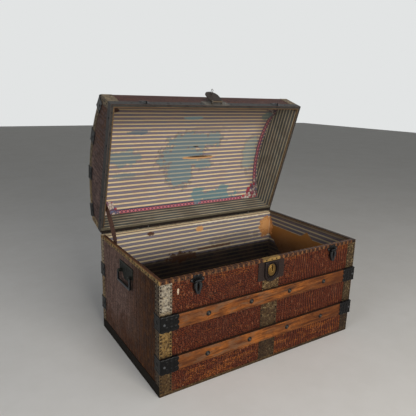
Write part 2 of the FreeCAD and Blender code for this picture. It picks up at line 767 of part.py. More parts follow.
def make_lid_trim():
    """An iron band round the rim, and a tin angle that follows each end's outline above it."""
    top = f"{LID_RIM} + band_height"
    ring = block((f"-{TRIM_X}", TRIM_X), (f"-{TRIM_Y}", TRIM_Y), (LID_RIM, top))
    inside = block(("-body_width/2", "body_width/2"), ("-body_depth/2", "body_depth/2"),
                   (f"{LID_RIM} - trim", f"{top} + trim"))
    lid_node("lid_rim_band", cut(ring, inside))
    for side, name in ((LEFT, "lid_left_edging"), (RIGHT, "lid_right_edging")):
        whole = vault("-trim", "-trim", outward(side, "body_width/2 - edging_lap", TRIM_X), top)
        core = vault("0", "0", outward(side, "body_width/2 - 2*edging_lap", "body_width/2"), LID_RIM)
        window = vault("edging_dome", "edging_end", outward(side, "body_width/2 - trim", f"{TRIM_X} + trim"),
                       LID_RIM)
        lid_node(name, cut(whole, core, window))


DOME_SEAT = f"({DOME_CENTRE} + {DOME_RADIUS} + trim)"


def dome_slat():
    """A slat at the top of the dome, hollowed underneath to the trim's curve."""
    across = ("-body_width/2", "body_width/2")
    bar = block(across, about("0", "slat_width/2"),
                (f"{DOME_SEAT} - slat_thick/2", f"{DOME_SEAT} + slat_thick"))
    return cut(bar, rod("x", across, ("0", DOME_CENTRE), f"{DOME_RADIUS} + trim"))


def dome_clamp(side):
    """An iron cap over a dome slat's end, with a leg down the lid's end."""
    rows = about("0", "slat_width/2 + clamp_lip")
    top = f"{DOME_SEAT} + slat_thick + clamp_wall"
    cap = block(outward(side, "body_width/2 - dome_clamp_lap", f"{TRIM_X} + clamp_wall"), rows,
                (DOME_SEAT, top))
    leg = block(outward(side, TRIM_X, f"{TRIM_X} + clamp_wall"), rows,
                (f"{DOME_SEAT} - dome_clamp_drop", top))
    room = block(outward(side, "body_width/2 - 2*dome_clamp_lap", TRIM_X), about("0", "slat_width/2"),
                 (f"{DOME_SEAT} - 2*dome_clamp_drop", f"{DOME_SEAT} + slat_thick"))
    seat = rod("x", outward(side, "body_width/2 - 2*dome_clamp_lap", TRIM_X), ("0", DOME_CENTRE),
               f"{DOME_RADIUS} + trim")
    return cut(fuse(cap, leg), room, seat)


def dome_nail(x):
    """A nail head on a slat at the top of the dome."""
    head = nail_head(x, 0)
    head.setExpression("Placement.Base.z", bound(f"{DOME_SEAT} + slat_thick"))
    return head


def make_dome_slats():
    """Four slats over the dome, each built at the top and turned round to its place."""
    slats, clamps, nails = [], [], []
    for place in ("-dome_slat_outer", "-dome_slat_inner", "dome_slat_inner", "dome_slat_outer"):
        angle = f"asin(({place})/{DOME_RADIUS})"
        axis = ("0", DOME_CENTRE)
        slats.append(turned([dome_slat()], angle, axis))
        clamps.append(turned([dome_clamp(side) for side in (LEFT, RIGHT)], angle, axis))
        nails.append(turned([dome_nail(x) for x in nail_places()], angle, axis))
    lid_node("lid_slats", *slats)
    lid_node("lid_slat_clamps", *clamps)
    lid_node("lid_slat_nails", *nails)


# ---------------------------------------------------------------- hasp

def make_hasp():
    """A plate with two ears on the collar, and the hasp that hangs from them, thrown back off the lock."""
    y, z = HASP_PIVOT
    out = f"(-{y})"
    backing = block(about("0", "hasp_plate_width/2"), outward(FRONT, TRIM_Y, f"{TRIM_Y} + lock_plate"),
                    (LID_RIM, f"{LID_RIM} + hasp_plate_height"))
    ears = []
    for side in (LEFT, RIGHT):
        span = outward(side, "hasp_neck + side_play", "hasp_neck + side_play + hasp_ear")
        ears.append(block(span, outward(FRONT, TRIM_Y, out), about(z, "hasp_knuckle")))
        ears.append(rod("x", span, (y, z), "hasp_knuckle"))
    reach = "hasp_neck + side_play + hasp_ear"
    hole = rod("x", about("0", f"{reach} + through"), (y, z), "hasp_pin_radius")
    pin = rod("x", about("0", reach), (y, z), "hasp_pin_radius")
    lid_node("hasp_plate", cut(fuse(backing, *ears), hole), pin)

    span = (f"{out} - hasp_thick/2", f"{out} + hasp_thick/2")
    shoulder, arc = f"({z} - hasp_shoulder)", f"({z} - hasp_length + hasp_half_width)"
    knuckle = rod("x", about("0", "hasp_neck"), (y, z), "hasp_knuckle")
    neck = block(about("0", "hasp_neck"), outward(FRONT, *span), (shoulder, z))
    blade = block(about("0", "hasp_half_width"), outward(FRONT, *span), (arc, shoulder))
    tip = rod("y", outward(FRONT, *span), ("0", arc), "hasp_half_width")
    staple = block(about("0", "staple_thick/2"), outward(FRONT, "body_depth/2 - staple_depth", out),
                   about(STAPLE_HEIGHT, "staple_half"))
    eye = block(about("0", "staple_thick"), outward(FRONT, EYE_BACK, EYE_FRONT),
                about(STAPLE_HEIGHT, "staple_half - staple_wall"))
    bore = rod("x", about("0", "hasp_neck + through"), (y, z), "hasp_pin_radius + pin_play")
    hasp = cut(fuse(knuckle, neck, blade, tip, staple), bore, eye)
    lid_node("hasp", turned([hasp], "hasp_back_angle", HASP_PIVOT))


# ---------------------------------------------------------------- hinges and stay

def make_hinges():
    """Two butt hinges on the back: outer knuckles and pin on the box, the middle knuckle on the lid."""
    y, z = HINGE
    third = "(leaf_width/6 - knuckle_gap/2)"
    body_leaves, lid_leaves, pins = [], [], []
    for side in (LEFT, RIGHT):
        middle = f"({side}*(body_width/2 - hinge_inset))"
        across = about(middle, "leaf_width/2")
        hole = rod("x", about(middle, "leaf_width"), (y, z), "hinge_pin_radius + pin_play")
        behind = outward(BACK, TRIM_Y, f"{TRIM_Y} + leaf")
        clear = "barrel_radius + knuckle_gap"
        lower = [block(across, behind, (f"{z} - leaf_height", f"{z} - {clear}"))]
        for knuckle_side in (LEFT, RIGHT):
            low, high = outward(knuckle_side, "leaf_width/6 + knuckle_gap/2", "leaf_width/2")
            span = (f"{middle} + {low}", f"{middle} + {high}")
            lower.append(block(span, behind, (f"{z} - leaf_height", z)))
            lower.append(rod("x", span, (y, z), "barrel_radius"))
        body_leaves.append(cut(fuse(*lower), hole))
        upper = [block(across, behind, (f"{z} + {clear}", f"{z} + leaf_height")),
                 block(about(middle, third), behind, (z, f"{z} + leaf_height")),
                 rod("x", about(middle, third), (y, z), "barrel_radius")]
        lid_leaves.append(cut(fuse(*upper), hole))
        pins.append(rod("x", across, (y, z), "hinge_pin_radius"))
    node("hinge_body_leaves", *body_leaves)
    node("hinge_pins", *pins)
    lid_node("hinge_lid_leaves", *lid_leaves)


def stay_iron(height):
    """A small iron plate on the left wall's inside."""
    return block(outward(LEFT, STAY_FACE, f"{INNER_X} - paper"), about("stay_depth", "stay_plate_width/2"),
                 about(height, "stay_plate_height/2"))


def make_stay():
    """A leather strap on the left, from the box's wall to the lid's, that holds the lid open."""
    anchor_z, bracket_z = "(body_height - stay_drop)", f"({LID_RIM} + stay_rise)"
    node("stay_anchor", stay_iron(anchor_z))
    lid_node("stay_bracket", stay_iron(bracket_z))
    hinge_y, hinge_z = HINGE
    ahead, above = f"(stay_depth - {hinge_y})", f"({bracket_z} - {hinge_z})"
    run_y = f"({hinge_y} + {ahead}*cos(lid_open_angle) + {above}*sin(lid_open_angle) - stay_depth)"
    run_z = f"({hinge_z} - {ahead}*sin(lid_open_angle) + {above}*cos(lid_open_angle) - {anchor_z})"
    strap = doc.addObject("Part::Box", "strap")
    strap.Placement = FreeCAD.Placement(FreeCAD.Vector(), FreeCAD.Rotation(FreeCAD.Vector(1, 0, 0), 1))
    angle = f"atan2({run_z}; {run_y})"
    run = f"sqrt({run_y}^2 + {run_z}^2)"
    for name, text in {
            "Length": "strap_thick",
            "Width": f"{run} + strap_width",
            "Height": "strap_width",
            "Placement.Rotation.Angle": angle,
            "Placement.Base.x": f"-({STAY_FACE} - soft_gap)",
            "Placement.Base.y": f"stay_depth - strap_width/2*(cos({angle}) - sin({angle}))",
            "Placement.Base.z": f"{anchor_z} - strap_width/2*(sin({angle}) + cos({angle}))",
    }.items():
        strap.setExpression(name, bound(text))
    node("stay_strap", strap)


# ---------------------------------------------------------------- the whole trunk

def make_trunk():
    """Every sub-part, box first and lid last."""
    make_boards()
    make_covers()
    make_lining()
    make_corner_edgings()
    make_rim_edging()
    make_bottom_trim()
    make_body_slats()
    make_lock()
    make_latches()
    make_handles()
    make_lid_boards()
    make_lid_covers()
    make_lid_lining()
    make_lid_trim()
    make_dome_slats()
    make_keepers()
    make_hasp()
    make_hinges()
    make_stay()


def write_parts():
    """Checks every object, then writes one file for each sub-part."""
    doc.recompute()
    broken = [item.Label for item in doc.Objects if {"Invalid", "Error"} & set(item.State)]
    if broken:
        raise RuntimeError(f"these objects failed: {broken}")
    for piece in nodes:
        if piece.Shape.isNull() or not piece.Shape.isValid() or not piece.Shape.Solids:
            raise RuntimeError(f"{piece.Label} has no valid solid")
    os.makedirs("parts", exist_ok=True)
    for piece in nodes:
        piece.Shape.exportStep(f"parts/{piece.Label}.step")
        print(f"{piece.Label}: {len(piece.Shape.Solids)} solids, {piece.Shape.Volume/1000:.1f} cm3")


make_trunk()
write_parts()
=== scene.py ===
"""A dome top trunk with its lid thrown back: slats, embossed covers, tin, cast iron and striped paper."""
from __future__ import annotations

import logging
import math
import random
from dataclasses import dataclass
from enum import Enum
from typing import Callable, Iterable, Union

import bmesh
import bpy
from mathutils import Matrix, Vector, noise


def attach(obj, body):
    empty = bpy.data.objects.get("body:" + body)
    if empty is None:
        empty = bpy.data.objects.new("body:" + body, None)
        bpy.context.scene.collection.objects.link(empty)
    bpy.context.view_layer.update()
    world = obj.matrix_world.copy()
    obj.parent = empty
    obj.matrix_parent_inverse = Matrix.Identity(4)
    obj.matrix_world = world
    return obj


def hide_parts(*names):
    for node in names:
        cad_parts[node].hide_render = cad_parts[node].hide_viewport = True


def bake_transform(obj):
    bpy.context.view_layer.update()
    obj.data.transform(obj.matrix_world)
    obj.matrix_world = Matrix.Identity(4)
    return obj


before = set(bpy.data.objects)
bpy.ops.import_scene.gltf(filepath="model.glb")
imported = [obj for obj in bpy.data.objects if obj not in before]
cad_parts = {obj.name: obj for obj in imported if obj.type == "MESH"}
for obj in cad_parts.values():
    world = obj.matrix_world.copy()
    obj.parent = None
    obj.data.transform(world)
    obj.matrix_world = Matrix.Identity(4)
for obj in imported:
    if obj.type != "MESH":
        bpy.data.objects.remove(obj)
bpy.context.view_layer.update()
LOG = logging.getLogger("trunk")

Source = Union["Socket", float, tuple]
Outputs = dict[str, "Socket"]
Rgb = tuple[int, int, int]
Rgba = tuple[float, float, float, float]
Spot = tuple[float, float, float]
Skin = tuple[Vector, Vector, float]
Facing = Callable[[float, float], Skin]

METRES = 0.001
QUARTER = math.pi / 2
HINGE = Vector((0, 265.9, 396.5))
OPENING = math.radians(72)
LID_OPEN = Matrix.Translation(HINGE) @ Matrix.Rotation(-OPENING, 4, "X") @ Matrix.Translation(-HINGE)

HALF_WIDTH, HALF_DEPTH = 430, 260
TRIM_X, TRIM_Y = 431, 261
LID_RIM, DOME_CENTRE, DOME_RADIUS = 397, 102.667, 472.333
DOME_SEAT = DOME_CENTRE + DOME_RADIUS + 1
SLAT_ROWS = (256, 111)
DOME_ROWS = (-226, -80, 80, 226)
NAIL_COLUMNS = (-259.5, -86.5, 86.5, 259.5)
LATCH_X = 300
SIDES = (-1, 1)
SHARP, TINY = math.radians(40), 1e-6
UP, RIGHT = Vector((0, 0, 1)), Vector((1, 0, 0))
# the first colour is a dark brown for painted shade on the linings, the second the cream of paper scraps
PAINTED_SHADE, CREAM = (30, 24, 20), (206, 188, 156)


class Body(Enum):
    """What the pieces move with."""

    BOX = "trunk_body"
    LID = "lid"
    HASP = "hasp"
    LEFT_LATCH = "left_latch"
    RIGHT_LATCH = "right_latch"
    LEFT_BAIL = "left_bail"
    RIGHT_BAIL = "right_bail"


class Slot(Enum):
    """The record's material slots, one given with each new piece."""

    SLAT = "slat_wood"
    TIN = "tin"
    IRON = "iron"
    NAIL = "nail"
    LOCK = "lock_iron"
    BRASS = "lock_brass"
    STRAP = "strap_leather"


class Part(Enum):
    """Whose coordinates a finish is laid out in."""

    BOX = "box"
    LID = "closed lid"


BOX, LID = Part


def paint(colour: Rgb) -> Rgba:
    """Turns a colour of 0 to 255 a channel into the linear one that sockets hold.

    Args:
        colour: red, green and blue as a screen shows them.

    Returns:
        Linear red, green, blue and an alpha of 1.
    """
    shares = (c / 255 for c in colour)
    linear = [s / 12.92 if s <= 0.04045 else ((s + 0.055) / 1.055) ** 2.4 for s in shares]
    return (*linear, 1)


# ---------------------------------------------------------------- laying out nodes


def adds(operation: str, behind: bool = False) -> Callable[..., Socket]:
    """Makes a method that adds the node of an operation, with its own socket first, or last if behind."""
    def method(own: Socket, *others: Source) -> Socket:
        return own.bench.reckon(operation, *((*others, own) if behind else (own, *others)))
    return method


class Socket:
    """What a node puts out, as a value to reckon with: every sum adds a node to its bench."""

    def __init__(self, bench: Bench, raw: bpy.types.NodeSocket) -> None:
        """Holds one output of a node on a bench."""
        self.bench, self.raw = bench, raw

    __add__, __radd__ = adds("ADD"), adds("ADD", True)
    __sub__, __rsub__ = adds("SUBTRACT"), adds("SUBTRACT", True)
    __mul__, __rmul__ = adds("MULTIPLY"), adds("MULTIPLY", True)
    __truediv__, __rtruediv__ = adds("DIVIDE"), adds("DIVIDE", True)
    __abs__, fract, sine, turn = adds("ABSOLUTE"), adds("FRACT"), adds("SINE"), adds("ARCTAN2")
    least, most, dot, length = adds("MINIMUM"), adds("MAXIMUM"), adds("DOT_PRODUCT"), adds("LENGTH")

    def span(self, low: float, high: float, start: float = 0, end: float = 1) -> Socket:
        """Eases a number from start to end while this one runs from low to high."""
        ends = {0: self, 1: low, 2: high, 3: start, 4: end}
        return self.bench.out("MapRange", ends, interpolation_type="SMOOTHSTEP")

    def fall(self, low: float, high: float) -> Socket:
        """Eases a number from 1 to 0 while this one runs from low to high."""
        return self.span(low, high, 1, 0)


class Bench:
    """One node tree, with short calls for the nodes that the finishes are made of."""

    def __init__(self, tree: bpy.types.NodeTree) -> None:
        """Takes over a tree and empties it."""
        self.tree = tree
        tree.nodes.clear()

    def node(self, kind: str, inputs: dict | None = None, **settings) -> bpy.types.Node:
        """Adds a node.

        Args:
            kind: the node's type, without its ShaderNode prefix.
            inputs: what feeds its sockets, by name or number.
            settings: the node's own options.

        Returns:
            The new node.
        """
        made = self.tree.nodes.new("ShaderNode" + kind)
        for key, value in settings.items():
            setattr(made, key, value)
        for key, source in (inputs or {}).items():
            if isinstance(source, Socket):
                self.tree.links.new(source.raw, made.inputs[key])
            else:
                made.inputs[key].default_value = source
        return made

    def out(self, kind: str, inputs: dict | None = None, pick: int | str = 0, **settings) -> Socket:
        """Adds a node, and gives the output that pick names."""
        return Socket(self, self.node(kind, inputs, **settings).outputs[pick])

    def reckon(self, operation: str, *terms: Source) -> Socket:
        """Works out a number, or a vector where the first term is one; a vector times a number is scaled."""
        kinds = ["VALUE" if isinstance(term, (int, float)) else getattr(term, "raw", term) for term in terms]
        kinds = [getattr(kind, "type", kind) for kind in kinds]
        if kinds[0] not in ("VECTOR", "RGBA"):
            return self.out("Math", dict(enumerate(terms)), operation=operation)
        if operation == "MULTIPLY" and kinds[1] == "VALUE":
            return self.out("VectorMath", {0: terms[0], "Scale": terms[1]}, operation="SCALE")
        pick = "Value" if operation in ("LENGTH", "DOT_PRODUCT") else "Vector"
        return self.out("VectorMath", dict(enumerate(terms)), pick, operation=operation)

    def split(self, vector: Source) -> list[Socket]:
        """The x, y and z of a vector."""
        return [Socket(self, output) for output in self.node("SeparateXYZ", {0: vector}).outputs]

    def join(self, *axes: Source) -> Socket:
        """A vector of three numbers."""
        return self.out("CombineXYZ", dict(enumerate(axes)))

    def mix(self, share: Source, low: Source | Rgb, high: Source | Rgb) -> Socket:
        """A colour between two, which are sockets, or red, green and blue of 0 to 255."""
        low, high = (colour if isinstance(colour, Socket) else paint(colour) for colour in (low, high))
        return self.out("Mix", {0: share, 6: low, 7: high}, 2, data_type="RGBA")

    def clouds(self, vector: Source, scale: Source, detail: float = 2, rough: float = 0.5,
               pick: int = 0) -> Socket:
        """Noise of 0 to 1, or its colour where pick is 1."""
        inputs = {"Vector": vector, "Scale": scale, "Detail": detail, "Roughness": rough}
        return self.out("TexNoise", inputs, pick)

    def noise(self, vector: Source, size: float, detail: float = 3, rough: float = 0.55) -> Socket:
        """Noise of 0 to 1 whose blotches are about size across."""
        return self.clouds(vector, 1 / size, detail, rough)

    def cells(self, vector: Source, uneven: float) -> tuple[Socket, Socket]:
        """Cells about 1 across: how far a spot is from its cell's edge, and a number of each cell's own."""
        inputs = {"Vector": vector, "Scale": 1, "Randomness": uneven}
        tone = self.out("SeparateColor", {0: self.out("TexVoronoi", inputs, "Color")})
        return self.out("TexVoronoi", inputs, feature="DISTANCE_TO_EDGE"), tone

    def place(self, part: Part = BOX) -> Socket:
        """Object coordinates in millimetres, of the box, or of the lid as if it were closed."""
        spot = self.out("TexCoord", pick="Object") * (1 / METRES)
        return spot if part is BOX else self.single("Closed lid", spot)

    def effect(self, name: str, vector: Source | None = None, **inputs: Source) -> dict[str, Socket]:
        """Places a shared node group with its own values, and gives its outputs by name."""
        if vector is not None:
            inputs["Vector"] = vector
        made = self.node("Group", inputs, node_tree=EFFECTS[name])
        return {output.name: Socket(self, output) for output in made.outputs}

    def single(self, name: str, vector: Source, **inputs: Source) -> Socket:
        """Places a shared node group that has one output."""
        return next(iter(self.effect(name, vector, **inputs).values()))


EFFECTS: dict[str, bpy.types.NodeTree] = {}
RECIPES: dict[str, tuple[dict[str, float | None], Callable[..., Outputs]]] = {}


def recipe(**inputs: float | None) -> Callable[[Callable[..., Outputs]], Callable[..., Outputs]]:
    """Lists a function that wires a shared node group, with its inputs' defaults; None is a vector."""
    def keep(wire: Callable[..., Outputs]) -> Callable[..., Outputs]:
        RECIPES[wire.__name__.replace("_", " ").capitalize()] = (inputs, wire)
        return wire
    return keep


def make_effects() -> None:
    """Makes every listed node group once."""
    for name, (inputs, wire) in RECIPES.items():
        tree = EFFECTS[name] = bpy.data.node_groups.new(name, "ShaderNodeTree")
        bench = Bench(tree)
        for key, default in inputs.items():
            kind = "NodeSocketVector" if default is None else "NodeSocketFloat"
            socket = tree.interface.new_socket(name=key, in_out="INPUT", socket_type=kind)
            if default is not None:
                socket.default_value = default
        entry, leave = tree.nodes.new("NodeGroupInput"), tree.nodes.new("NodeGroupOutput")
        made = wire(bench, *[Socket(bench, entry.outputs[key]) for key in inputs])
        for key, source in made.items():
            kind = "NodeSocketVector" if source.raw.type == "VECTOR" else "NodeSocketFloat"
            tree.interface.new_socket(name=key, in_out="OUTPUT", socket_type=kind)
            tree.links.new(source.raw, leave.inputs[key])


@recipe(Vector=None)
def closed_lid(b: Bench, vector: Socket) -> Outputs:
    """Turns a place on the open lid to where it is when the lid is shut."""
    turn = {"Vector": vector, "Center": tuple(HINGE), "Angle": OPENING}
    return {"Vector": b.out("VectorRotate", turn, rotation_type="X_AXIS")}


@recipe(Vector=None, Width=3, Length=120)
def grain(b: Bench, vector: Socket, width: Socket, length: Socket) -> Outputs:
    """Wood grain that runs along x: broad streaks, and fine pores."""
    thin = 1 / width
    drawn = vector * b.join(1 / length, thin, thin)
    streak = b.clouds(drawn + b.clouds(drawn, 0.35, pick=1) * 1.2, 1, 5, 0.62)
    return {"Streak": streak.span(0.32, 0.68), "Pores": b.clouds(drawn, 3.4, 3, 0.7).span(0.52, 0.72)}


@recipe(Vector=None, Size=60)
def mottle(b: Bench, vector: Socket, size: Socket) -> Outputs:
    """Blotches in two sizes, 0 to 1."""
    spread = vector * (1 / size)
    both = b.clouds(spread, 1, 4, 0.6) * 0.65 + b.clouds(spread, 5.3, 3, 0.6) * 0.35
    return {"Value": both.span(0.36, 0.64)}


@recipe(Vector=None, Radius=2, Spread=12)
def edge_wear(b: Bench, vector: Socket, radius: Socket, spread: Socket) -> Outputs:
    """Where edges are rubbed: the bend of the surface within radius, broken up by noise."""
    rounded = b.out("Bevel", {"Radius": radius * METRES}, samples=4)
    bend = 1 - rounded.dot(b.out("NewGeometry", pick="Normal"))
    return {"Wear": (bend * 7 * b.clouds(vector, 1 / spread, 3).span(0.35, 0.6)).least(1)}


@recipe(Vector=None, Reach=18)
def grime(b: Bench, vector: Socket, reach: Socket) -> Outputs:
    """Where the surface is shut in, in corners and beside whatever stands on it, by ambient occlusion: a mask
    for painted shade and for grubbiness.
    """
    shut = 1 - b.out("AmbientOcclusion", {"Distance": reach * METRES}, "AO", samples=6)
    return {"Dirt": (shut * b.clouds(vector, 0.12, 3).span(0.2, 0.7, 0.7, 1.3)).span(0.12, 0.62)}


@recipe(Vector=None, Wide=7, Tall=5)
def scales(b: Bench, vector: Socket, wide: Socket, tall: Socket) -> Outputs:
    """Embossed hide: rows of small uneven scales, each with its own tone."""
    x, y, z = b.split(vector)
    wander = b.clouds(vector, 0.03, 2, pick=1) * 1.6
    edge, tone = b.cells(b.join(x / wide, y / wide, z / tall) + wander, 0.8)
    return {"Rise": edge.span(0.02, 0.24), "Tone": tone}


@recipe(Across=0, Vector=None, Pitch=18.4)
def stripes(b: Bench, across: Socket, vector: Socket, pitch: Socket) -> Outputs:
    """Printed stripes: a band over most of each pitch, thin lines at its edges and a faint pin line in it."""
    run = across / pitch + b.clouds(vector, 0.012, 2) * 0.14 + b.clouds(vector, 0.35, 3) * 0.07
    off = abs(run.fract() - 0.5)
    line = off.span(0.23, 0.275) * off.fall(0.3, 0.345)
    return {"Band": off.fall(0.275, 0.315), "Line": line, "Pin": off.fall(0.02, 0.055)}


@recipe(Vector=None, Centre=None, Reach=None, Rag=0.8, Fine=0.024)
def blot(b: Bench, vector: Socket, centre: Socket, reach: Socket, rag: Socket, fine: Socket) -> Outputs:
    """How far a spot is from a centre, 1 at the ragged edge that reach sets in each direction."""
    return {"Far": ((vector - centre) / reach).length() + (b.clouds(vector, fine, 6, 0.72) - 0.5) * rag}


@recipe(Along=0, Across=0)
def chain(b: Bench, along: Socket, across: Socket) -> Outputs:
    """A printed border about across = 0: a row of beads with dark hearts between two lines."""
    pitch, reach = 17.5, 7.6
    cell = ((along / pitch).fract() - 0.5) * pitch
    off = abs(across)
    line = off.span(reach - 1.6, reach - 0.6) * off.fall(reach + 2.6, reach + 3.6)
    return {"Ring": abs(abs(cell) - off).fall(1.4, 3.2), "Field": off.fall(reach - 1, reach), "Line": line,
            "Heart": b.join(cell, across, 0).length().fall(2.4, 3.8)}


@recipe(Vector=None, Size=13)
def florets(b: Bench, vector: Socket, size: Socket) -> Outputs:
    """Printed florets: rounded cells, each with a number of its own, and dark joints between them."""
    edge, tone = b.cells(vector * (1 / size), 0.7)
    return {"Joint": edge.fall(0.04, 0.12), "Tone": tone}


@recipe(Vector=None, Size=12)
def stamped(b: Bench, vector: Socket, size: Socket) -> Outputs:
    """A stamped ornament of small scrolls, 0 in its hollows and 1 on its ridges."""
    inputs = {"Vector": vector * (1 / size), "Scale": 1, "Randomness": 0.55}
    return {"Ridge": (b.out("TexVoronoi", inputs, feature="SMOOTH_F1") * 19).sine().span(-0.5, 0.7)}


# ---------------------------------------------------------------- finishes


class Coat:
    """A colour that is built up in layers."""

    def __init__(self, colour: Socket) -> None:
        """Starts with a ground colour."""
        self.colour = colour

    def lay(self, share: Source, colour: Source | Rgb) -> None:
        """Covers a share of what is there with a colour."""
        self.colour = self.colour.bench.mix(share, self.colour, colour)

    def soil(self, spot: Socket, reach: float, share: float, colour: Rgb) -> None:
        """Lays a colour in corners, and within reach of what stands on the surface, by ambient occlusion:
        painted shade where the colour is darker, grubbiness where it is browner.
        """
        self.lay(self.colour.bench.single("Grime", spot, Reach=reach) * share, colour)

    def rub(self, spot: Socket, radius: float, spread: float, share: float, colour: Rgb) -> None:
        """Lays what shows through where edges are rubbed."""
        wear = self.colour.bench.single("Edge wear", spot, Radius=radius, Spread=spread)
        self.lay(wear * share, colour)


@dataclass
class Surface:
    """What a finish works out for the shader: colour, roughness, height in millimetres, metal and gloss."""

    colour: Socket
    rough: Source
    height: Socket
    metal: Source = 0
    gloss: float = 0.22


@dataclass(frozen=True)
class Finish:
    """A named finish, made into a material when it is first used."""

    name: str
    part: Part = BOX

    def wire(self, b: Bench) -> Surface:
        """Lays out the finish; each kind has its own."""
        raise NotImplementedError

    def material(self) -> bpy.types.Material:
        """The finish as a material, made once."""
        made = bpy.data.materials.get(self.name)
        if made is None:
            made = bpy.data.materials.new(self.name)
            made.use_nodes = True
            bench = Bench(made.node_tree)
            skin = self.wire(bench)
            bump = bench.out("Bump", {"Height": skin.height, "Distance": METRES, "Strength": 1})
            bench.node("OutputMaterial", {0: bench.out("BsdfPrincipled", {
                "Base Color": skin.colour, "Roughness": skin.rough, "Metallic": skin.metal, "Normal": bump,
                "Specular IOR Level": skin.gloss})})
        return made


@dataclass(frozen=True)
class SlatWood(Finish):
    """Varnished slats: orange-brown, streaked, rubbed pale on their edges, and darker by the iron and along
    their top edges, partly from grubbiness and partly painted shade.
    """

    heart: Rgb = (156, 92, 38)
    streak: Rgb = (58, 28, 10)
    rubbed: Rgb = (168, 118, 66)
    faded: Rgb = (108, 80, 58)
    dirt: Rgb = (34, 23, 17)

    def wire(self, b: Bench) -> Surface:
        """Grain along the slat, with blotches, wear, grubbiness and painted shade."""
        spot = b.place(self.part)
        wood = b.effect("Grain", spot, Width=10, Length=90)
        blotch = b.single("Mottle", spot, Size=48)
        x = b.split(spot)[0]
        coat = Coat(b.mix(wood["Streak"], self.streak, self.heart))
        coat.lay(blotch * 0.62, (84, 44, 20))
        scratch = b.noise(spot * (0.5, 1, 1), 9, 6, 0.75).span(0.6, 0.7)
        coat.lay(scratch * 0.4, (186, 132, 78))
        bruise = b.noise(spot * (0.6, 1, 1), 30, 5, 0.7).span(0.56, 0.64)
        coat.lay(bruise * 0.45, (50, 28, 14))
        grey = b.noise(spot * (0.3, 1, 1), 18, 4).span(0.48, 0.6) * x.span(120, -160, 0.15, 0.6)
        coat.lay(grey, self.faded)
        coat.lay(wood["Pores"] * 0.45, (60, 34, 20))
        coat.lay(x.span(60, 330, 0, 0.58), (72, 35, 14))
        coat.lay(x.span(-180, -360, 0, 0.3), (84, 50, 28))
        coat.rub(spot, 2.4, 16, 0.6, self.rubbed)
        # darker by the clamps and nails, by ambient occlusion: partly grubbiness, partly painted shade
        coat.soil(spot, 14, 0.95, self.dirt)
        # painted shadow, with some grubbiness: a dark line along the top edge of each slat on the box
        if self.part is BOX:
            z = b.split(spot)[2]
            above = abs(abs(z - 183.5) - 97.5)
            below = abs(abs(z - 183.5) - 47.5)
            top = (above.span(1.6, 0.8) * z.span(200, 210)).most(below.span(1.6, 0.8) * z.span(170, 160))
            coat.lay(top * 0.9, self.dirt)
        height = wood["Streak"] * 0.12 - wood["Pores"] * 0.16
        return Surface(coat.colour, blotch.span(0, 1, 0.46, 0.64), height, gloss=0.14)


@dataclass(frozen=True)
class RawWood(Finish):
    """Old bare boards: tan and dusty, and black along their rims, where the trim laps over."""

    light: Rgb = (158, 122, 80)
    dark: Rgb = (104, 76, 48)
    lap: Rgb = (34, 31, 29)
    lap_x: float = 421.5
    lap_y: float = 251.5

    def wire(self, b: Bench) -> Surface:
        """Grain along x with grey dust."""
        spot = b.place(self.part)
        wood = b.effect("Grain", spot, Width=4, Length=110)
        blotch = b.single("Mottle", spot, Size=40)
        coat = Coat(b.mix(wood["Streak"], self.dark, self.light))
        coat.lay(blotch * 0.55, (82, 66, 50))
        coat.lay(wood["Pores"] * 0.5, (58, 42, 30))
        x, y, z = b.split(spot)
        ragged = b.noise(spot, 9, 4) * 3
        beyond = (abs(x) - self.lap_x).most(abs(y) - self.lap_y)
        lapped = (beyond - ragged).span(-1.9, -1.1)
        coat.lay(lapped, self.lap)
        if self.part is LID:
            coat.lay(y.span(238, 244, 0, 0.8), (104, 98, 82))
            marks = b.noise(spot, 13, 4, 0.7).span(0.54, 0.62) * 0.7
            coat.lay(marks * lapped, (24, 21, 20))
            dark = y.span(251, 255)
            coat.lay(dark * 0.92, (22, 16, 13))
        else:
            scrap = y.span(244, 246) * abs(x).span(418, 416)
            rim = b.mix(scrap, (70, 50, 32), CREAM)
            rim = b.mix(x.span(404, 415), rim, (30, 20, 14))
            coat.lay(z.span(390, 394, 0, 0.8), rim)
        return Surface(coat.colour, 0.85, wood["Streak"] * 0.3)


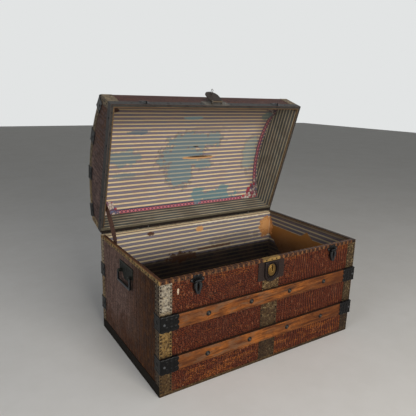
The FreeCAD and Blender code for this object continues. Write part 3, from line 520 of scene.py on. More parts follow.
@dataclass(frozen=True)
class EmbossedCover(Finish):
    """Embossed covers of front, back and dome: rows of scales, and ribs that fade in to the right."""

    ground: Rgb = (86, 38, 20)
    deep: Rgb = (36, 15, 9)
    rubbed: Rgb = (150, 88, 38)
    dash: Rgb = (142, 92, 66)
    dusty: Rgb = (92, 60, 42)
    wear_low: float = 60
    wear_share: float = 1

    def wire(self, b: Bench) -> Surface:
        """Scales, ribs, and rubbing that is strongest at the bottom and along the rim."""
        spot = b.place(self.part)
        x, _, z = b.split(spot)
        hide = b.effect("Scales", spot, Wide=9.5, Tall=6)
        broad = b.noise(spot, 130, 4)
        bent = x / 12 + b.noise(spot, 85, 1) * 2.6
        rib = (bent * (2 * math.pi)).sine().span(-0.6, 0.6)
        ribbed = x.span(-40, 160) * broad.span(0.38, 0.56)
        relief = hide["Rise"] * (1 - ribbed * 0.6) + rib * (ribbed * 0.62)
        coat = Coat(b.mix(relief.span(0.1, 0.9), self.deep, self.ground))
        coat.lay(hide["Tone"].span(0.5, 1) * 0.4, (56, 25, 18))
        coat.lay(broad.span(0.5, 0.72) * 0.4, (56, 27, 20))
        low = z.fall(self.wear_low, self.wear_low + 90)
        rim = z.span(345, 385)
        bands = (low * 0.8).most(rim * 0.7)
        streaky = b.noise(spot * (0.35, 0.35, 1.6), 26, 5, 0.7)
        speck = b.noise(spot * (0.7, 0.7, 1.3), 5, 3, 0.6)
        rub = streaky * 0.62 + speck * 0.38 + bands * 0.07
        rub = rub.span(0.53, 0.66) * (relief.span(0.2, 0.8, 0.2, 1) * self.wear_share)
        coat.lay(rub * bands.span(0.1, 0.8, 0.34, 0.7), self.rubbed)
        drawn = spot * (1, 1, 0.3)
        dashes = b.noise(drawn, 6.5, 2, 0.6).span(0.56, 0.66) * rib.span(0, 1, 0.5, 1)
        coat.lay(dashes * (broad.span(0.3, 0.6, 0.75, 0.3) * self.wear_share), self.dash)
        dust = b.noise(spot, 45, 5).span(0.55, 0.75) * 0.3
        coat.lay(dust, self.dusty)
        fleck = b.noise(spot * (1, 1, 0.45), 7, 4, 0.7).span(0.66, 0.72)
        coat.lay(fleck * x.span(-180, -340, 0.1, 0.75), (176, 150, 122))
        patch = b.single("Blot", spot, Centre=(-367, -260, 350), Reach=(3.4, 9, 11), Rag=3.4)
        coat.lay(patch.span(0.5, 1, 0.85, 0), (206, 186, 160))
        # darker in corners and beside the slats and iron, by ambient occlusion: partly grubbiness, partly
        # painted shade
        coat.soil(spot, 22, 0.8, (20, 10, 7))
        return Surface(coat.colour, rub.span(0, 1, 0.55, 0.7), relief * 0.6, gloss=0.1)


@dataclass(frozen=True)
class EndCover(Finish):
    """Covers of the ends: grey-brown, ribbed up and down, redder and darker lower down."""

    high: Rgb = (116, 91, 82)
    low: Rgb = (49, 25, 9)
    rust: Rgb = (80, 40, 17)

    def wire(self, b: Bench) -> Surface:
        """Upright ribs with soft streaks."""
        spot = b.place(self.part)
        x, y, z = b.split(spot)
        drawn = spot * (1, 1, 0.12)
        bent = y / 15 + b.noise(drawn, 60, 2) * 4
        rib = (bent * (2 * math.pi)).sine().span(-0.7, 0.7)
        streak = b.noise(drawn, 9, 4, 0.65)
        lit = z.span(20, 220, 0.35, 1) * y.span(-250, 190, 0.05, 1.25)
        coat = Coat(b.mix(lit, self.low, self.high))
        pale = b.mix(lit.span(0.2, 0.9), (98, 62, 32), (130, 106, 96))
        red = b.noise(spot, 120, 3).span(0.42, 0.66) * z.span(300, 140)
        coat.lay(red * 0.75, self.rust)
        coat.lay(rib * 0.45, (32, 20, 14))
        hide = b.effect("Scales", spot, Wide=15, Tall=12)
        coat.lay(hide["Rise"].span(0, 0.7, 0.6, 0), (30, 18, 12))
        coat.lay(hide["Tone"].span(0.5, 1) * 0.3, pale)
        cloud = b.noise(spot * (1, 1, 0.6), 24, 5, 0.7)
        coat.lay(cloud.span(0.52, 0.66) * 0.45, pale)
        coat.lay(cloud.span(0.46, 0.34) * 0.4, (34, 21, 15))
        side = x.span(-100, 100, 1, 0.6)
        shown = streak.span(0.5, 0.68) * lit.span(0, 0.8, 0.15, 0.55)
        coat.lay(shown * side, pale)
        speck = b.noise(spot, 6, 4, 0.7).span(0.58, 0.68) * z.span(260, 120, 0.1, 0.6)
        coat.lay(speck, (112, 74, 36))
        scuff = b.noise(spot, 17, 6, 0.7).span(0.62, 0.74)
        coat.lay(scuff * 0.45, (134, 98, 74))
        # darker in corners and beside the iron, by ambient occlusion: partly grubbiness, partly painted shade
        coat.soil(spot, 20, 0.8, (20, 13, 9))
        hole = b.single("Blot", spot, Centre=(-430, 172, 374), Reach=(9, 6, 6), Rag=0.8)
        coat.lay(hole.span(0.8, 1, 0.8, 0), (26, 18, 15))
        height = rib * 0.3 + hide["Rise"] * 0.4
        return Surface(coat.colour, streak.span(0.3, 0.7, 0.5, 0.68), height, gloss=0.06)


@dataclass(frozen=True)
class Stain:
    """A blot on a lining: its middle and reach there, its colour, strength and tide mark."""

    middle: tuple[float, ...]
    reach: tuple[float, ...]
    colour: Rgb
    share: float = 0.7
    rag: float = 1.1
    sharp: bool = False
    tide: float = 0
    fine: float = 0.03
    joined: tuple[tuple[tuple[float, ...], tuple[float, ...]], ...] = ()


@dataclass(frozen=True)
class StripedPaper(Finish):
    """Lining paper: cream with mauve-grey stripes, stained and torn."""

    cream: Rgb = (216, 198, 162)
    stripe: Rgb = (112, 110, 124)
    line: Rgb = (74, 66, 74)
    # share of the lower walls' darkening: partly smoke-blackened lining, partly painted shadow
    soot: float = 0.9
    stains: tuple[Stain, ...] = ()

    def spread(self, b: Bench, spot: Socket) -> tuple[Socket, Socket]:
        """Where a spot is along and across the stripes: along x, and up a wall or across the floor."""
        x, y, z = b.split(spot)
        floor = z.fall(12.6, 13.4)
        end = abs(x).span(415.9, 416.3)
        along = x * (1 - end) + y * end
        across = z * (1 - floor) + y * floor
        return along, across

    def canvas(self, spot: Socket, flat: Socket) -> Socket:
        """What the stains are placed on: here the box's own x, y and z."""
        return spot

    def trim(self, b: Bench, coat: Coat, spot: Socket, along: Socket, across: Socket) -> None:
        """What is worn over the stripes: painted shade on the right-hand part and on the right wall, a dark
        band on the lower walls that is partly smoke-blackened lining and partly the front wall's shadow
        painted in, and bare board where paper is torn.
        """
        x, y, z = b.split(spot)
        sway = b.noise(spot, 24, 4)
        edge = z + sway * 14
        # painted shade: the right-hand part of the lining, away from the back wall, darkened
        coat.lay(x.span(300, 416) * y.span(240, 246, 0.42, 0), PAINTED_SHADE)
        # the lower walls darkened below a sharp edge: partly smoke-blackened lining, partly the front wall's
        # shadow painted in
        coat.lay(edge.span(264, 246, 0, self.soot), (20, 14, 11))
        peak = (26 - abs(y + 10) * 0.76).most(0)
        top = (z + sway * 8 - peak).span(335, 332)
        slope = y + sway * 30 - z * 1.3
        bare = top * slope.span(-103, -109) * y.span(-160, -150)
        board = b.mix(z.span(225, 345), (72, 44, 20), (150, 98, 44))
        right = x.span(414.6, 415.6)
        # painted shade on the right wall, strongest near its top
        coat.lay(right * z.span(366, 390, 0.2, 0.75), (46, 31, 21))
        coat.lay(bare * right, board)

    def wire(self, b: Bench) -> Surface:
        """Stripes, then what is over them, then stains, creases and dust."""
        spot = b.place(self.part)
        along, across = self.spread(b, spot)
        flat = b.join(along, across, 0)
        print_ = b.effect("Stripes", Across=across, Vector=flat, Pitch=18.4)
        age = b.single("Mottle", flat, Size=90)
        coat = Coat(b.mix(print_["Band"], self.cream, self.stripe))
        coat.lay(print_["Line"] * 0.7, self.line)
        coat.lay(print_["Pin"] * 0.35, (150, 140, 140))
        self.trim(b, coat, spot, along, across)
        coat.lay(age * 0.16, (150, 112, 84))
        fox = b.noise(flat, 8, 4, 0.7).span(0.62, 0.74)
        coat.lay(fox * 0.4, (96, 72, 58))
        canvas = self.canvas(spot, flat)
        for stain in self.stains:
            far = None
            for middle, reach in ((stain.middle, stain.reach), *stain.joined):
                one = b.single("Blot", canvas, Rag=stain.rag, Fine=stain.fine,
                               Centre=(*middle, 0)[:3], Reach=(*reach, 1)[:3])
                far = b.reckon("SMOOTH_MIN", far, one, 0.3) if far else one
            inside = far.fall(0.92 if stain.sharp else 0.84, 1)
            coat.lay(inside * stain.share, stain.colour)
            if stain.tide:
                line = far.span(0.92, 1) * far.fall(1.02, 1.08)
                coat.lay(line * stain.tide, (84, 66, 58))
        crease = b.noise(flat * (0.25, 1, 1), 22, 5, 0.6)
        return Surface(coat.colour, 0.82, crease * 0.8 + fox * 0.15)


@dataclass(frozen=True)
class DomePaper(StripedPaper):
    """The dome's lining: the same paper run along the arch, with a printed border all round."""

    inner: float = DOME_RADIUS - 11.6
    border_x: float = 400
    border_arc: float = 254

    def spread(self, b: Bench, spot: Socket) -> tuple[Socket, Socket]:
        """Along x, and across by the length of the arch from its crown."""
        x, y, z = b.split(spot)
        return x, y.turn(z - DOME_CENTRE) * self.inner

    def canvas(self, spot: Socket, flat: Socket) -> Socket:
        """Stains lie along x and the arch."""
        return flat

    def trim(self, b: Bench, coat: Coat, spot: Socket, along: Socket, across: Socket) -> None:
        """A border of rings by the springing and the ends, and a corner piece where they meet; the paper
        darker towards the right end, and painted shade over the part by the front collar.
        """
        side = abs(along) - self.border_x
        foot = abs(across) - self.border_arc
        for run, off in ((along, foot), (across, side)):
            beads = b.effect("Chain", Along=run, Across=off)
            field = b.mix(beads["Ring"], (204, 124, 134), (126, 36, 58))
            coat.lay(beads["Field"], b.mix(beads["Heart"], field, (76, 74, 92)))
            coat.lay(beads["Line"], (50, 56, 88))
        flat = b.join(along, across, 0)
        bloom = b.effect("Florets", flat, Size=12)
        spread = abs(side) + abs(foot) + b.noise(flat, 22, 2) * 60
        piece = b.mix(bloom["Tone"].span(0.52, 0.56), (174, 66, 82), (200, 186, 176))
        piece = b.mix(bloom["Tone"].span(0.3, 0.26), piece, (96, 108, 136))
        piece = b.mix(bloom["Joint"] * 0.8, piece, (96, 40, 54))
        coat.lay(spread.fall(114, 118), piece)
        coat.lay(along.span(330, 410, 0, 0.4), (40, 30, 28))
        # painted shade: the front collar's shadow over the lining next to it
        front = across.span(-60, -190, 0, 0.65)
        coat.lay(front.most(across.span(-222, -236, 0, 0.85)), PAINTED_SHADE)


@dataclass(frozen=True)
class LidWallPaper(StripedPaper):
    """The lid's upright linings: the same stripes, dulled green and brown."""

    def spread(self, b: Bench, spot: Socket) -> tuple[Socket, Socket]:
        """Along x and y together, and across by height above the rim."""
        x, y, z = b.split(spot)
        return x + y, z

    def trim(self, b: Bench, coat: Coat, spot: Socket, along: Socket, across: Socket) -> None:
        """Grubby drifts, and painted shade that darkens the paper towards the front collar."""
        y = b.split(spot)[1]
        drift = b.noise(spot, 70, 5).span(0.4, 0.65)
        coat.lay(drift * 0.35, (52, 48, 38))
        # painted shade: the front collar's inner wall in its own shadow
        coat.lay(y.span(-225, -245, 0, 0.85), PAINTED_SHADE)


@dataclass(frozen=True)
class Tin(Finish):
    """Stamped tin trim: silvery high on the left front, gilt lower, then brown; olive on the ends, which
    painted light pales towards the back.
    """

    gilt: Rgb = (132, 104, 58)
    silver: Rgb = (164, 156, 140)
    brown: Rgb = (78, 58, 32)
    olive: Rgb = (64, 49, 30)
    dot: Rgb = (36, 26, 18)
    gilt_from: float = 150
    silvered: bool = True

    def wire(self, b: Bench) -> Surface:
        """Zones by place, then ornament, rust, grubbiness and painted shade in corners, and rubbed edges."""
        spot = b.place(self.part)
        x, y, z = b.split(spot)
        ridge = b.single("Stamped", spot, Size=12)
        blotch = b.single("Mottle", spot, Size=22)
        end = abs(x).span(430.3, 430.7)
        coat = Coat(b.mix(z.span(55, self.gilt_from), self.brown, self.gilt))
        if self.silvered:
            high = z.span(272, 300) * x.span(0, -100)
            coat.lay(high, self.silver)
            worn = b.mix(z.span(280, 60), self.olive, (34, 21, 9))
            coat.lay(x.span(0, 100) * 0.9, worn)
        coat.lay(end * y.span(0, 100, 0.9, 0), b.mix(0.4, self.olive, self.dot))
        # painted light: the end edgings paled towards the back
        coat.lay(end * y.span(160, 220, 0, 0.5), (178, 150, 112))
        coat.lay((1 - ridge) * 0.34, self.dot)
        coat.lay(blotch * 0.5, (70, 52, 35))
        tarnish = b.noise(spot, 8, 6, 0.75)
        coat.lay(tarnish.span(0.5, 0.4) * 0.78, self.dot)
        pale = tarnish.span(0.54, 0.64) * z.span(60, 300, 0.2, 0.55)
        coat.lay(pale, (172, 154, 114))
        rust = b.noise(spot, 11, 6, 0.7).span(0.54, 0.66)
        coat.lay(rust * 0.8, (50, 31, 19))
        # darker in corners and beside what stands on the tin, by ambient occlusion: partly grubbiness, partly
        # painted shade
        coat.soil(spot, 9, 0.85, (24, 18, 14))
        coat.rub(spot, 1.2, 9, 0.35, (176, 154, 110))
        return Surface(coat.colour, rust.span(0, 1, 0.46, 0.8), ridge * 0.3, 0.2, 0.16)


@dataclass(frozen=True)
class RimTin(Finish):
    """The rim's edging: red-brown and flaking on the front and back, tan on the ends, gilt over the lock."""

    def wire(self, b: Bench) -> Surface:
        """Zones by place, with torn tan flecks by each tack."""
        spot = b.place(self.part)
        x, y, z = b.split(spot)
        end = abs(x).span(428, 430.5)
        gilt = abs(x).fall(34, 40)
        fleck = b.noise(spot * (1.6, 1, 0.5), 9, 5, 0.7)
        beat = abs((x / 22).fract() - 0.5)
        torn = (fleck.span(0.5, 0.62) * 0.7).most((beat + fleck).fall(0.54, 0.64))
        coat = Coat(b.mix(torn, (52, 27, 17), (126, 84, 48)))
        coat.lay(end, b.mix(fleck.span(0.42, 0.6), (86, 66, 42), (158, 128, 78)))
        coat.lay(gilt, (142, 112, 62))
        back = y.span(244, 246) * z.span(395, 395.6)
        coat.lay(back * fleck.span(0.36, 0.46, 0.5, 0.95), CREAM)
        coat.lay(x.span(400, 416) * 0.85, (32, 21, 15))
        coat.lay(b.noise(spot, 16, 5).span(0.52, 0.68) * 0.6, (46, 32, 24))
        return Surface(coat.colour, 0.6, fleck * 0.7, 0.15)


@dataclass(frozen=True)
class Iron(Finish):
    """Japanned iron: near black, browner in its hollows, brighter where hands and floors rub it."""

    ground: Rgb = (9, 9, 10)
    bright: Rgb = (92, 94, 98)
    rust: Rgb = (26, 17, 12)
    rust_share: float = 0.35
    rough: float = 0.36
    metal: float = 0
    gloss: float = 0.16
    lifted: bool = True

    def wire(self, b: Bench) -> Surface:
        """Casting skin, rust in spots, and wear on edges and on what stands up."""
        spot = b.place(self.part)
        skin = b.noise(spot, 2.2, 4, 0.65)
        rust = b.noise(spot, 14, 6, 0.72).span(0.54, 0.7)
        coat = Coat(b.mix(skin.span(0.35, 0.7), tuple(int(c * 0.78) for c in self.ground), self.ground))
        coat.lay(rust * self.rust_share, self.rust)
        if self.lifted:
            lift = b.out("Attribute", attribute_name="lift", pick="Fac")
            coat.lay(lift.span(0.62, 1, 0, 0.55), self.bright)
        coat.rub(spot, 1, 8, 0.35, self.bright)
        coat.soil(spot, 6, 0.6, (16, 13, 12))
        rough = b.out("Math", {0: rust * 0.25, 1: self.rough}, operation="ADD", use_clamp=True)
        return Surface(coat.colour, rough, skin * 0.4, self.metal, self.gloss)


@dataclass(frozen=True)
class StrapLeather(Finish):
    """The stay's leather: dark, dry and cracked across."""

    crack: Rgb = (40, 26, 21)
    hide: Rgb = (84, 56, 44)

    def wire(self, b: Bench) -> Surface:
        """Cracks across the strap and scuffed edges."""
        spot = b.place()
        crack = b.effect("Scales", spot, Wide=3.4, Tall=2.2)
        coat = Coat(b.mix(crack["Rise"], self.crack, self.hide))
        coat.lay(b.noise(spot, 18, 4).span(0.5, 0.7) * 0.3, (92, 64, 46))
        coat.rub(spot, 1, 7, 0.5, self.hide)
        return Surface(coat.colour, 0.66, crack["Rise"] * 0.35)


FRONT_COVER = EmbossedCover("embossed front cover")
BACK_COVER = EmbossedCover("embossed back cover", ground=(92, 50, 38), wear_share=0.6)
LID_COVER = EmbossedCover("embossed lid cover", LID, ground=(84, 50, 44), deep=(50, 30, 28),
                          dusty=(100, 78, 72),
                          wear_low=-500, wear_share=0.35)
END_COVER = EndCover("ribbed end cover")
LID_END_COVER = EndCover("ribbed lid end cover", LID, low=(86, 69, 65), high=(96, 79, 76))
BOX_WOOD = RawWood("bare board")
LID_WOOD = RawWood("bare lid board", LID, light=(112, 88, 62), dark=(70, 53, 37), lap=(56, 54, 51))
BOX_SLAT = SlatWood("varnished slat")
LID_SLAT = SlatWood("weathered lid slat", LID, heart=(128, 82, 50), streak=(88, 54, 34))
BOX_TIN = Tin("stamped tin")
LID_TIN = Tin("tan lid tin", LID, gilt=(134, 112, 76), olive=(116, 98, 66), silvered=False)
STRIP_TIN = Tin("gilt centre tin", gilt=(98, 74, 44), brown=(50, 35, 20), gilt_from=340, silvered=False)
RIM_TIN = RimTin("flaking rim tin")
CAST_IRON, LID_CAST_IRON = Iron("black cast iron"), Iron("black cast lid iron", LID)
PLAIN_IRON = Iron("plain black iron", lifted=False)
LID_PLAIN_IRON = Iron("plain black lid iron", LID, lifted=False)
# each iron's ground, its bright edges and its rust
BAND_IRON = Iron("grey rim band", LID, (62, 60, 58), (136, 132, 122), (42, 30, 24), 0.8, 0.55, 0.2,
                 lifted=False)
BASE_IRON = Iron("floor-worn iron", BOX, (22, 17, 11), (52, 44, 34), (42, 29, 18), rough=0.75, gloss=0.1,
                 lifted=False)
SLATE_IRON = Iron("slate grey iron", BOX, (20, 22, 17), (58, 62, 52), (26, 21, 15), rough=0.5)
NAIL_STEEL = Iron("nail head steel", BOX, (18, 15, 13), (92, 86, 80), (34, 23, 16), rough=0.46, gloss=0.2)
LID_NAIL_STEEL = Iron("lid nail head steel", LID, (44, 42, 42), (128, 128, 130), (60, 44, 34), rough=0.45,
                      metal=0.5)
TACK_STEEL = Iron("dark tack", BOX, (18, 14, 12), (56, 48, 40), (34, 22, 16), rough=0.6, metal=0.1,
                  lifted=False)
LOCK_PLATE = Iron("mauve lock plate", BOX, (44, 33, 29), (80, 66, 62), (54, 34, 25), rough=0.65)
SHOE_IRON = Iron("horseshoe casting", BOX, (34, 25, 22), (86, 70, 66), (50, 32, 25), rough=0.45)
LOCK_BRASS = Iron("rubbed brass", BOX, (120, 92, 46), (178, 142, 78), (76, 54, 32), rough=0.4, metal=0.6)
HASP_IRON = Iron("brown hasp casting", LID, (50, 38, 30), (142, 126, 104), (60, 40, 28), rough=0.45,
                 metal=0.3)
HASP_PLATE = Iron("silvered hasp plate", LID, (104, 98, 88), (176, 172, 162), (62, 50, 42), 0.7, 0.5, 0.3)

TEAL = (92, 132, 142)
BOX_PAPER = StripedPaper("striped box paper", stains=(
    Stain((-223, 247, 371), (20, 9, 8), (74, 40, 26), 0.9, 2.6, True, fine=0.09),
    Stain((14, 247, 361), (19, 9, 12), (206, 150, 92), 0.85, 2.2, True, fine=0.1),
    Stain((396, 247, 320), (44, 30, 52), (176, 120, 68), 0.95, 2.2, True, fine=0.06),
    Stain((394, 247, 330), (34, 26, 30), (204, 152, 98), 0.7, 3.4, True, fine=0.1),
    Stain((417, 247, 322), (3, 3, 46), (214, 186, 146), 0.8, 1, True),
    Stain((-74, 247, 245), (74, 12, 24), (70, 42, 24), 0.85, 3.4, fine=0.05),
    Stain((106, 247, 265), (104, 12, 6), (96, 62, 36), 0.75, 2.6, fine=0.06),
    Stain((150, 247, 384), (260, 12, 4), (236, 222, 192), 0.7, 3.4, fine=0.07),
    Stain((210, 247, 288), (150, 12, 30), (74, 62, 54), 0.26, 2.6, fine=0.03),
))
DOME_PAPER = DomePaper("striped dome paper", LID, cream=(234, 210, 168), stripe=(126, 122, 138), stains=(
    Stain((30, -40), (128, 44), TEAL, 0.58, 3, tide=0.7, joined=(
        ((-26, 34), (112, 62)), ((-26, 112), (66, 58)),
        ((118, -46), (52, 34)), ((86, 70), (48, 26)))),
    Stain((-292, 28), (80, 36), TEAL, 0.5, 3, tide=0.2),
    Stain((-290, 104), (58, 15), TEAL, 0.4, 2.6),
    Stain((-243, -90), (48, 11), (78, 106, 124), 0.7, 2.6),
    Stain((350, 30), (40, 92), (112, 146, 146), 0.42, 1.8, tide=0.4),
    Stain((150, 228), (126, 24), (84, 132, 140), 0.66, 3, joined=(
        ((70, 216), (34, 42)), ((205, 214), (42, 38)))),
    Stain((-12, -160), (52, 10), TEAL, 0.5, 2.6),
    Stain((90, -100), (120, 16), (120, 108, 100), 0.3, 3),
    Stain((-180, 110), (120, 12), (120, 108, 100), 0.25, 3),
    Stain((375, -170), (26, 26), (70, 88, 84), 0.7, 1.4),
    Stain((60, 40), (86, 8), (206, 158, 108), 0.95, 1.2, True),
    Stain((72, 36), (70, 3.6), (38, 24, 18), 0.95, 1, True),
    Stain((41, -14), (15, 3.6), (40, 34, 34), 0.85, 1, True),
    Stain((-366, -200), (20, 12), (46, 24, 20), 0.9, 0.9, True),
))
LID_WALL_PAPER = LidWallPaper("dulled lid paper", LID, cream=(184, 174, 148), stripe=(80, 88, 88),
                              line=(30, 28, 30))


# ---------------------------------------------------------------- making pieces


def rounded_line(corners: list[Vector], radius: float, steps: int = 5) -> list[Vector]:
    """A line through corners with each inner corner rounded off.

    Args:
        corners: the line's corners.
        radius: how far from each corner its bend starts.
        steps: how many runs each bend has.

    Returns:
        The points of the line.
    """
    line = [corners[0]]
    for before, corner, after in zip(corners, corners[1:], corners[2:]):
        start = corner + (before - corner).normalized() * min(radius, (before - corner).length / 2)
        end = corner + (after - corner).normalized() * min(radius, (after - corner).length / 2)
        for k in range(steps + 1):
            share = k / steps
            line.append(start * (1 - share) ** 2 + corner * 2 * share * (1 - share) + end * share ** 2)
    return line + [corners[-1]]


class Workpiece:
    """One piece under construction, in millimetres, until it is set down among the others."""

    def __init__(self, name: str) -> None:
        """Starts an empty piece whose points can say how far they stand up."""
        self.name = name
        self.mesh = bmesh.new()
        self.lift = self.mesh.verts.layers.float.new("lift")

    def relief(self, cells: tuple[int, int], facing: Facing, place: Matrix,
               window: Callable[[float, float], bool] | None = None) -> None:
        """Adds a closed plate with relief on its upper side.

        Args:
            cells: how many cells it has in each direction.
            facing: gives the upper point, the lower point and the lift for s and t of -1 to 1.
            place: where the plate goes.
            window: true for s and t where the plate is cut through.
        """
        low = bmesh.ops.create_grid(self.mesh, x_segments=cells[0], y_segments=cells[1], size=1)["verts"]
        faces = list({face for vert in low for face in vert.link_faces})
        grown = bmesh.ops.extrude_face_region(self.mesh, geom=faces, use_keep_orig=True)["geom"]
        high = [item for item in grown if isinstance(item, bmesh.types.BMVert)]
        if window:
            lids = faces + [item for item in grown if isinstance(item, bmesh.types.BMFace)]
            lids = [face for face in lids if window(*face.calc_center_median().to_2d())]
            bmesh.ops.delete(self.mesh, geom=lids, context="FACES")
            low, high = [[vert for vert in verts if vert.is_valid] for verts in (low, high)]
            rims = {edge for vert in low + high for edge in vert.link_edges if edge.is_boundary}
            bmesh.ops.bridge_loops(self.mesh, edges=list(rims))
        for verts, side in ((high, 0), (low, 1)):
            for vert in verts:
                found = facing(vert.co.x, vert.co.y)
                vert[self.lift] = found[2] if side == 0 else 0
                vert.co = place @ found[side]

    def turned(self, profile: list[tuple[float, float]], steps: int, place: Matrix = Matrix(),
               ring: bool = False) -> None:
        """Adds a shape turned about its own z axis.

        Args:
            profile: radius and height of each point, from the top down.
            steps: how many sides the shape has.
            place: where it goes.
            ring: whether the profile closes on itself, as for a washer.
        """
        top = max(height for _, height in profile) or 1
        before = set(self.mesh.verts)
        verts = [self.mesh.verts.new((radius, 0, height)) for radius, height in profile]
        for vert, (_, height) in zip(verts, profile):
            vert[self.lift] = max(0, height / top)
        pairs = list(zip(verts, verts[1:])) + ([(verts[-1], verts[0])] if ring else [])
        edges = [self.mesh.edges.new(pair) for pair in pairs]
        bmesh.ops.spin(self.mesh, geom=verts + edges, cent=(0, 0, 0), axis=(0, 0, 1), angle=2 * math.pi,
                       steps=steps, use_merge=True)
        fresh = [vert for vert in self.mesh.verts if vert not in before]
        bmesh.ops.transform(self.mesh, matrix=place, verts=fresh)
        bmesh.ops.remove_doubles(self.mesh, verts=fresh, dist=0.001)

    def swept(self, line: list[Vector], girth: Callable[[float], tuple[float, float]],
              up: Vector | Callable[[float], Vector], sides: int, square: float = 1) -> None:
        """Adds a bar along a line.

        Args:
            line: the points of its middle.
            girth: half its width and half its thickness, for a share of 0 to 1 along it.
            up: a direction that its thickness leans towards, or one for each share.
            sides: how many sides it has.
            square: 1 for a round bar, and less for a squarer one.
        """
        loops = []
        for k, (behind, point, ahead) in enumerate(zip(line[:1] + line, line, line[1:] + line[-1:])):
            share = k / (len(line) - 1)
            run = (ahead - behind).normalized()
            side = run.cross(up(share) if callable(up) else up).normalized()
            over = side.cross(run)
            wide, thick = girth(share)
            ring = bmesh.ops.create_circle(self.mesh, segments=sides, radius=1)["verts"]
            for vert in ring:
                c, s = vert.co.x, vert.co.y
                vert.co = (point + side * wide * math.copysign(abs(c) ** square, c)
                           + over * thick * math.copysign(abs(s) ** square, s))
                vert[self.lift] = max(0, s)
            loops.append(list({edge for vert in ring for edge in vert.link_edges}))
        for near, far in zip(loops, loops[1:]):
            bmesh.ops.bridge_loops(self.mesh, edges=near + far)
        for loop in (loops[0], loops[-1]):
            bmesh.ops.edgeloop_fill(self.mesh, edges=loop)

    def rod(self, middle: Spot, half: float, radius: float, sides: int = 16) -> None:
        """Adds a round bar that goes half its length each way along x."""
        ends = [Vector(middle) + RIGHT * half * side for side in SIDES]
        self.swept(ends, lambda _: (radius, radius), UP, sides)

    def block(self, low: Spot, high: Spot, soft: float, place: Matrix = Matrix()) -> None:
        """Adds a block between two corners with its edges rounded by soft."""
        lowest, highest = Vector(low), Vector(high)
        shape = Matrix.Translation((lowest + highest) / 2) @ Matrix.Diagonal((*(highest - lowest), 1))
        made = bmesh.ops.create_cube(self.mesh, size=1, matrix=place @ shape)["verts"]
        edges = list({edge for vert in made for edge in vert.link_edges})
        bmesh.ops.bevel(self.mesh, geom=edges, offset=soft, segments=3, profile=0.5, affect="EDGES",
                        material=-1)

    def stamp(self, pattern: Workpiece, places: Iterable[Matrix]) -> None:
        """Adds a copy of a pattern at each place."""
        source = bpy.data.meshes.new("pattern")
        pattern.mesh.to_mesh(source)
        for place in places:
            copy = source.copy()
            copy.transform(place)
            self.mesh.from_mesh(copy)
            bpy.data.meshes.remove(copy)
        bpy.data.meshes.remove(source)

    def set_down(self, body: Body, slot: Slot, finish: Finish, *nodes: str, place: Matrix | None = None,
                 ride: bool = True) -> bpy.types.Object:
        """Makes the piece an object of the scene.

        Args:
            body: what it moves with.
            slot: the record's slot that its finish stands for; not used.
            finish: its finish.
            nodes: the frame's nodes that it stands for.
            place: a last move of the whole piece, which opens the lid's pieces if it isn't given.
            ride: whether it moves with the body, or is left unattached.

        Returns:
            The object.
        """
        place = place or (LID_OPEN if body is Body.LID else Matrix())
        bmesh.ops.transform(self.mesh, matrix=Matrix.Scale(METRES, 4) @ place, verts=self.mesh.verts)
        bmesh.ops.recalc_face_normals(self.mesh, faces=self.mesh.faces)
        mesh = bpy.data.meshes.new(self.name)
        self.mesh.to_mesh(mesh)
        self.mesh.free()
        mesh.shade_smooth()
        mesh.set_sharp_from_angle(angle=SHARP)
        mesh.materials.append(finish.material())
        piece = bpy.data.objects.new(self.name, mesh)
        bpy.context.scene.collection.objects.link(piece)
        if ride:
            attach(piece, body.value)
        if nodes:
            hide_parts(*nodes)
        LOG.info("%s: %d faces, on %s", self.name, len(mesh.polygons), body.value)
        return piece


def dress(finish: Finish, *nodes: str) -> None:
    """Gives carried-over nodes a finish."""
    for name in nodes:
        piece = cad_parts[name]
        if not piece.material_slots:
            piece.data.materials.append(finish.material())
        for slot in piece.material_slots:
            slot.material = finish.material()
        LOG.info("%s: dressed in %s", name, finish.name)


# ---------------------------------------------------------------- shapes that reliefs are made of


def facing_out(point: Iterable[float], normal: Iterable[float]) -> Matrix:
    """A place at a point whose own z points along a normal."""
    return Matrix.Translation(point) @ UP.rotation_difference(Vector(normal)).to_matrix().to_4x4()


def on_face(back: bool, height: float, out: float = TRIM_Y, x: float = 0) -> Matrix:
    """A place on the front or the back: own x along it, own y up, own z outwards."""
    turn = Matrix.Rotation(math.pi if back else 0, 4, "Z")
    return turn @ Matrix.Translation((x, -out, height)) @ Matrix.Rotation(QUARTER, 4, "X")


def on_dome(row: float) -> Matrix:
    """A place over the closed dome at a row: own x along it, own y over the arch, own z outwards."""
    turn = Matrix.Rotation(-math.asin(row / DOME_RADIUS), 4, "X")
    return Matrix.Translation(UP * DOME_CENTRE) @ turn @ Matrix.Translation(UP * (DOME_SEAT - DOME_CENTRE))


def arc(off: float) -> float:
    """The height of a circle of radius 1 at off from its middle, and 0 beyond it."""
    return math.sqrt(max(0, 1 - off ** 2))


def boss(u: float, v: float, middle: tuple[float, float], radius: float) -> float:
    """A round boss: 1 at its middle and 0 from its radius out."""
    return arc(math.hypot(u - middle[0], v - middle[1]) / radius)


def crest(off: float, reach: float) -> float:
    """A ridge: 1 along its line, and 0 from reach beside it."""
    return max(0, 1 - abs(off) / reach)


def notch(t: float, turns: float = 1.5) -> float:
    """How deep a lobed edge is cut in at t: 0 to 1."""
    return 1 - abs(math.cos(turns * math.pi * t))


def skin(x: float, v: float, top: float, lift: float, under: float = 0) -> Skin:
    """What a relief needs at a spot: its upper point, its lower point and its lift."""
    return Vector((x, v, top)), Vector((x, v, under)), lift


# ---------------------------------------------------------------- slats, clamps and nails


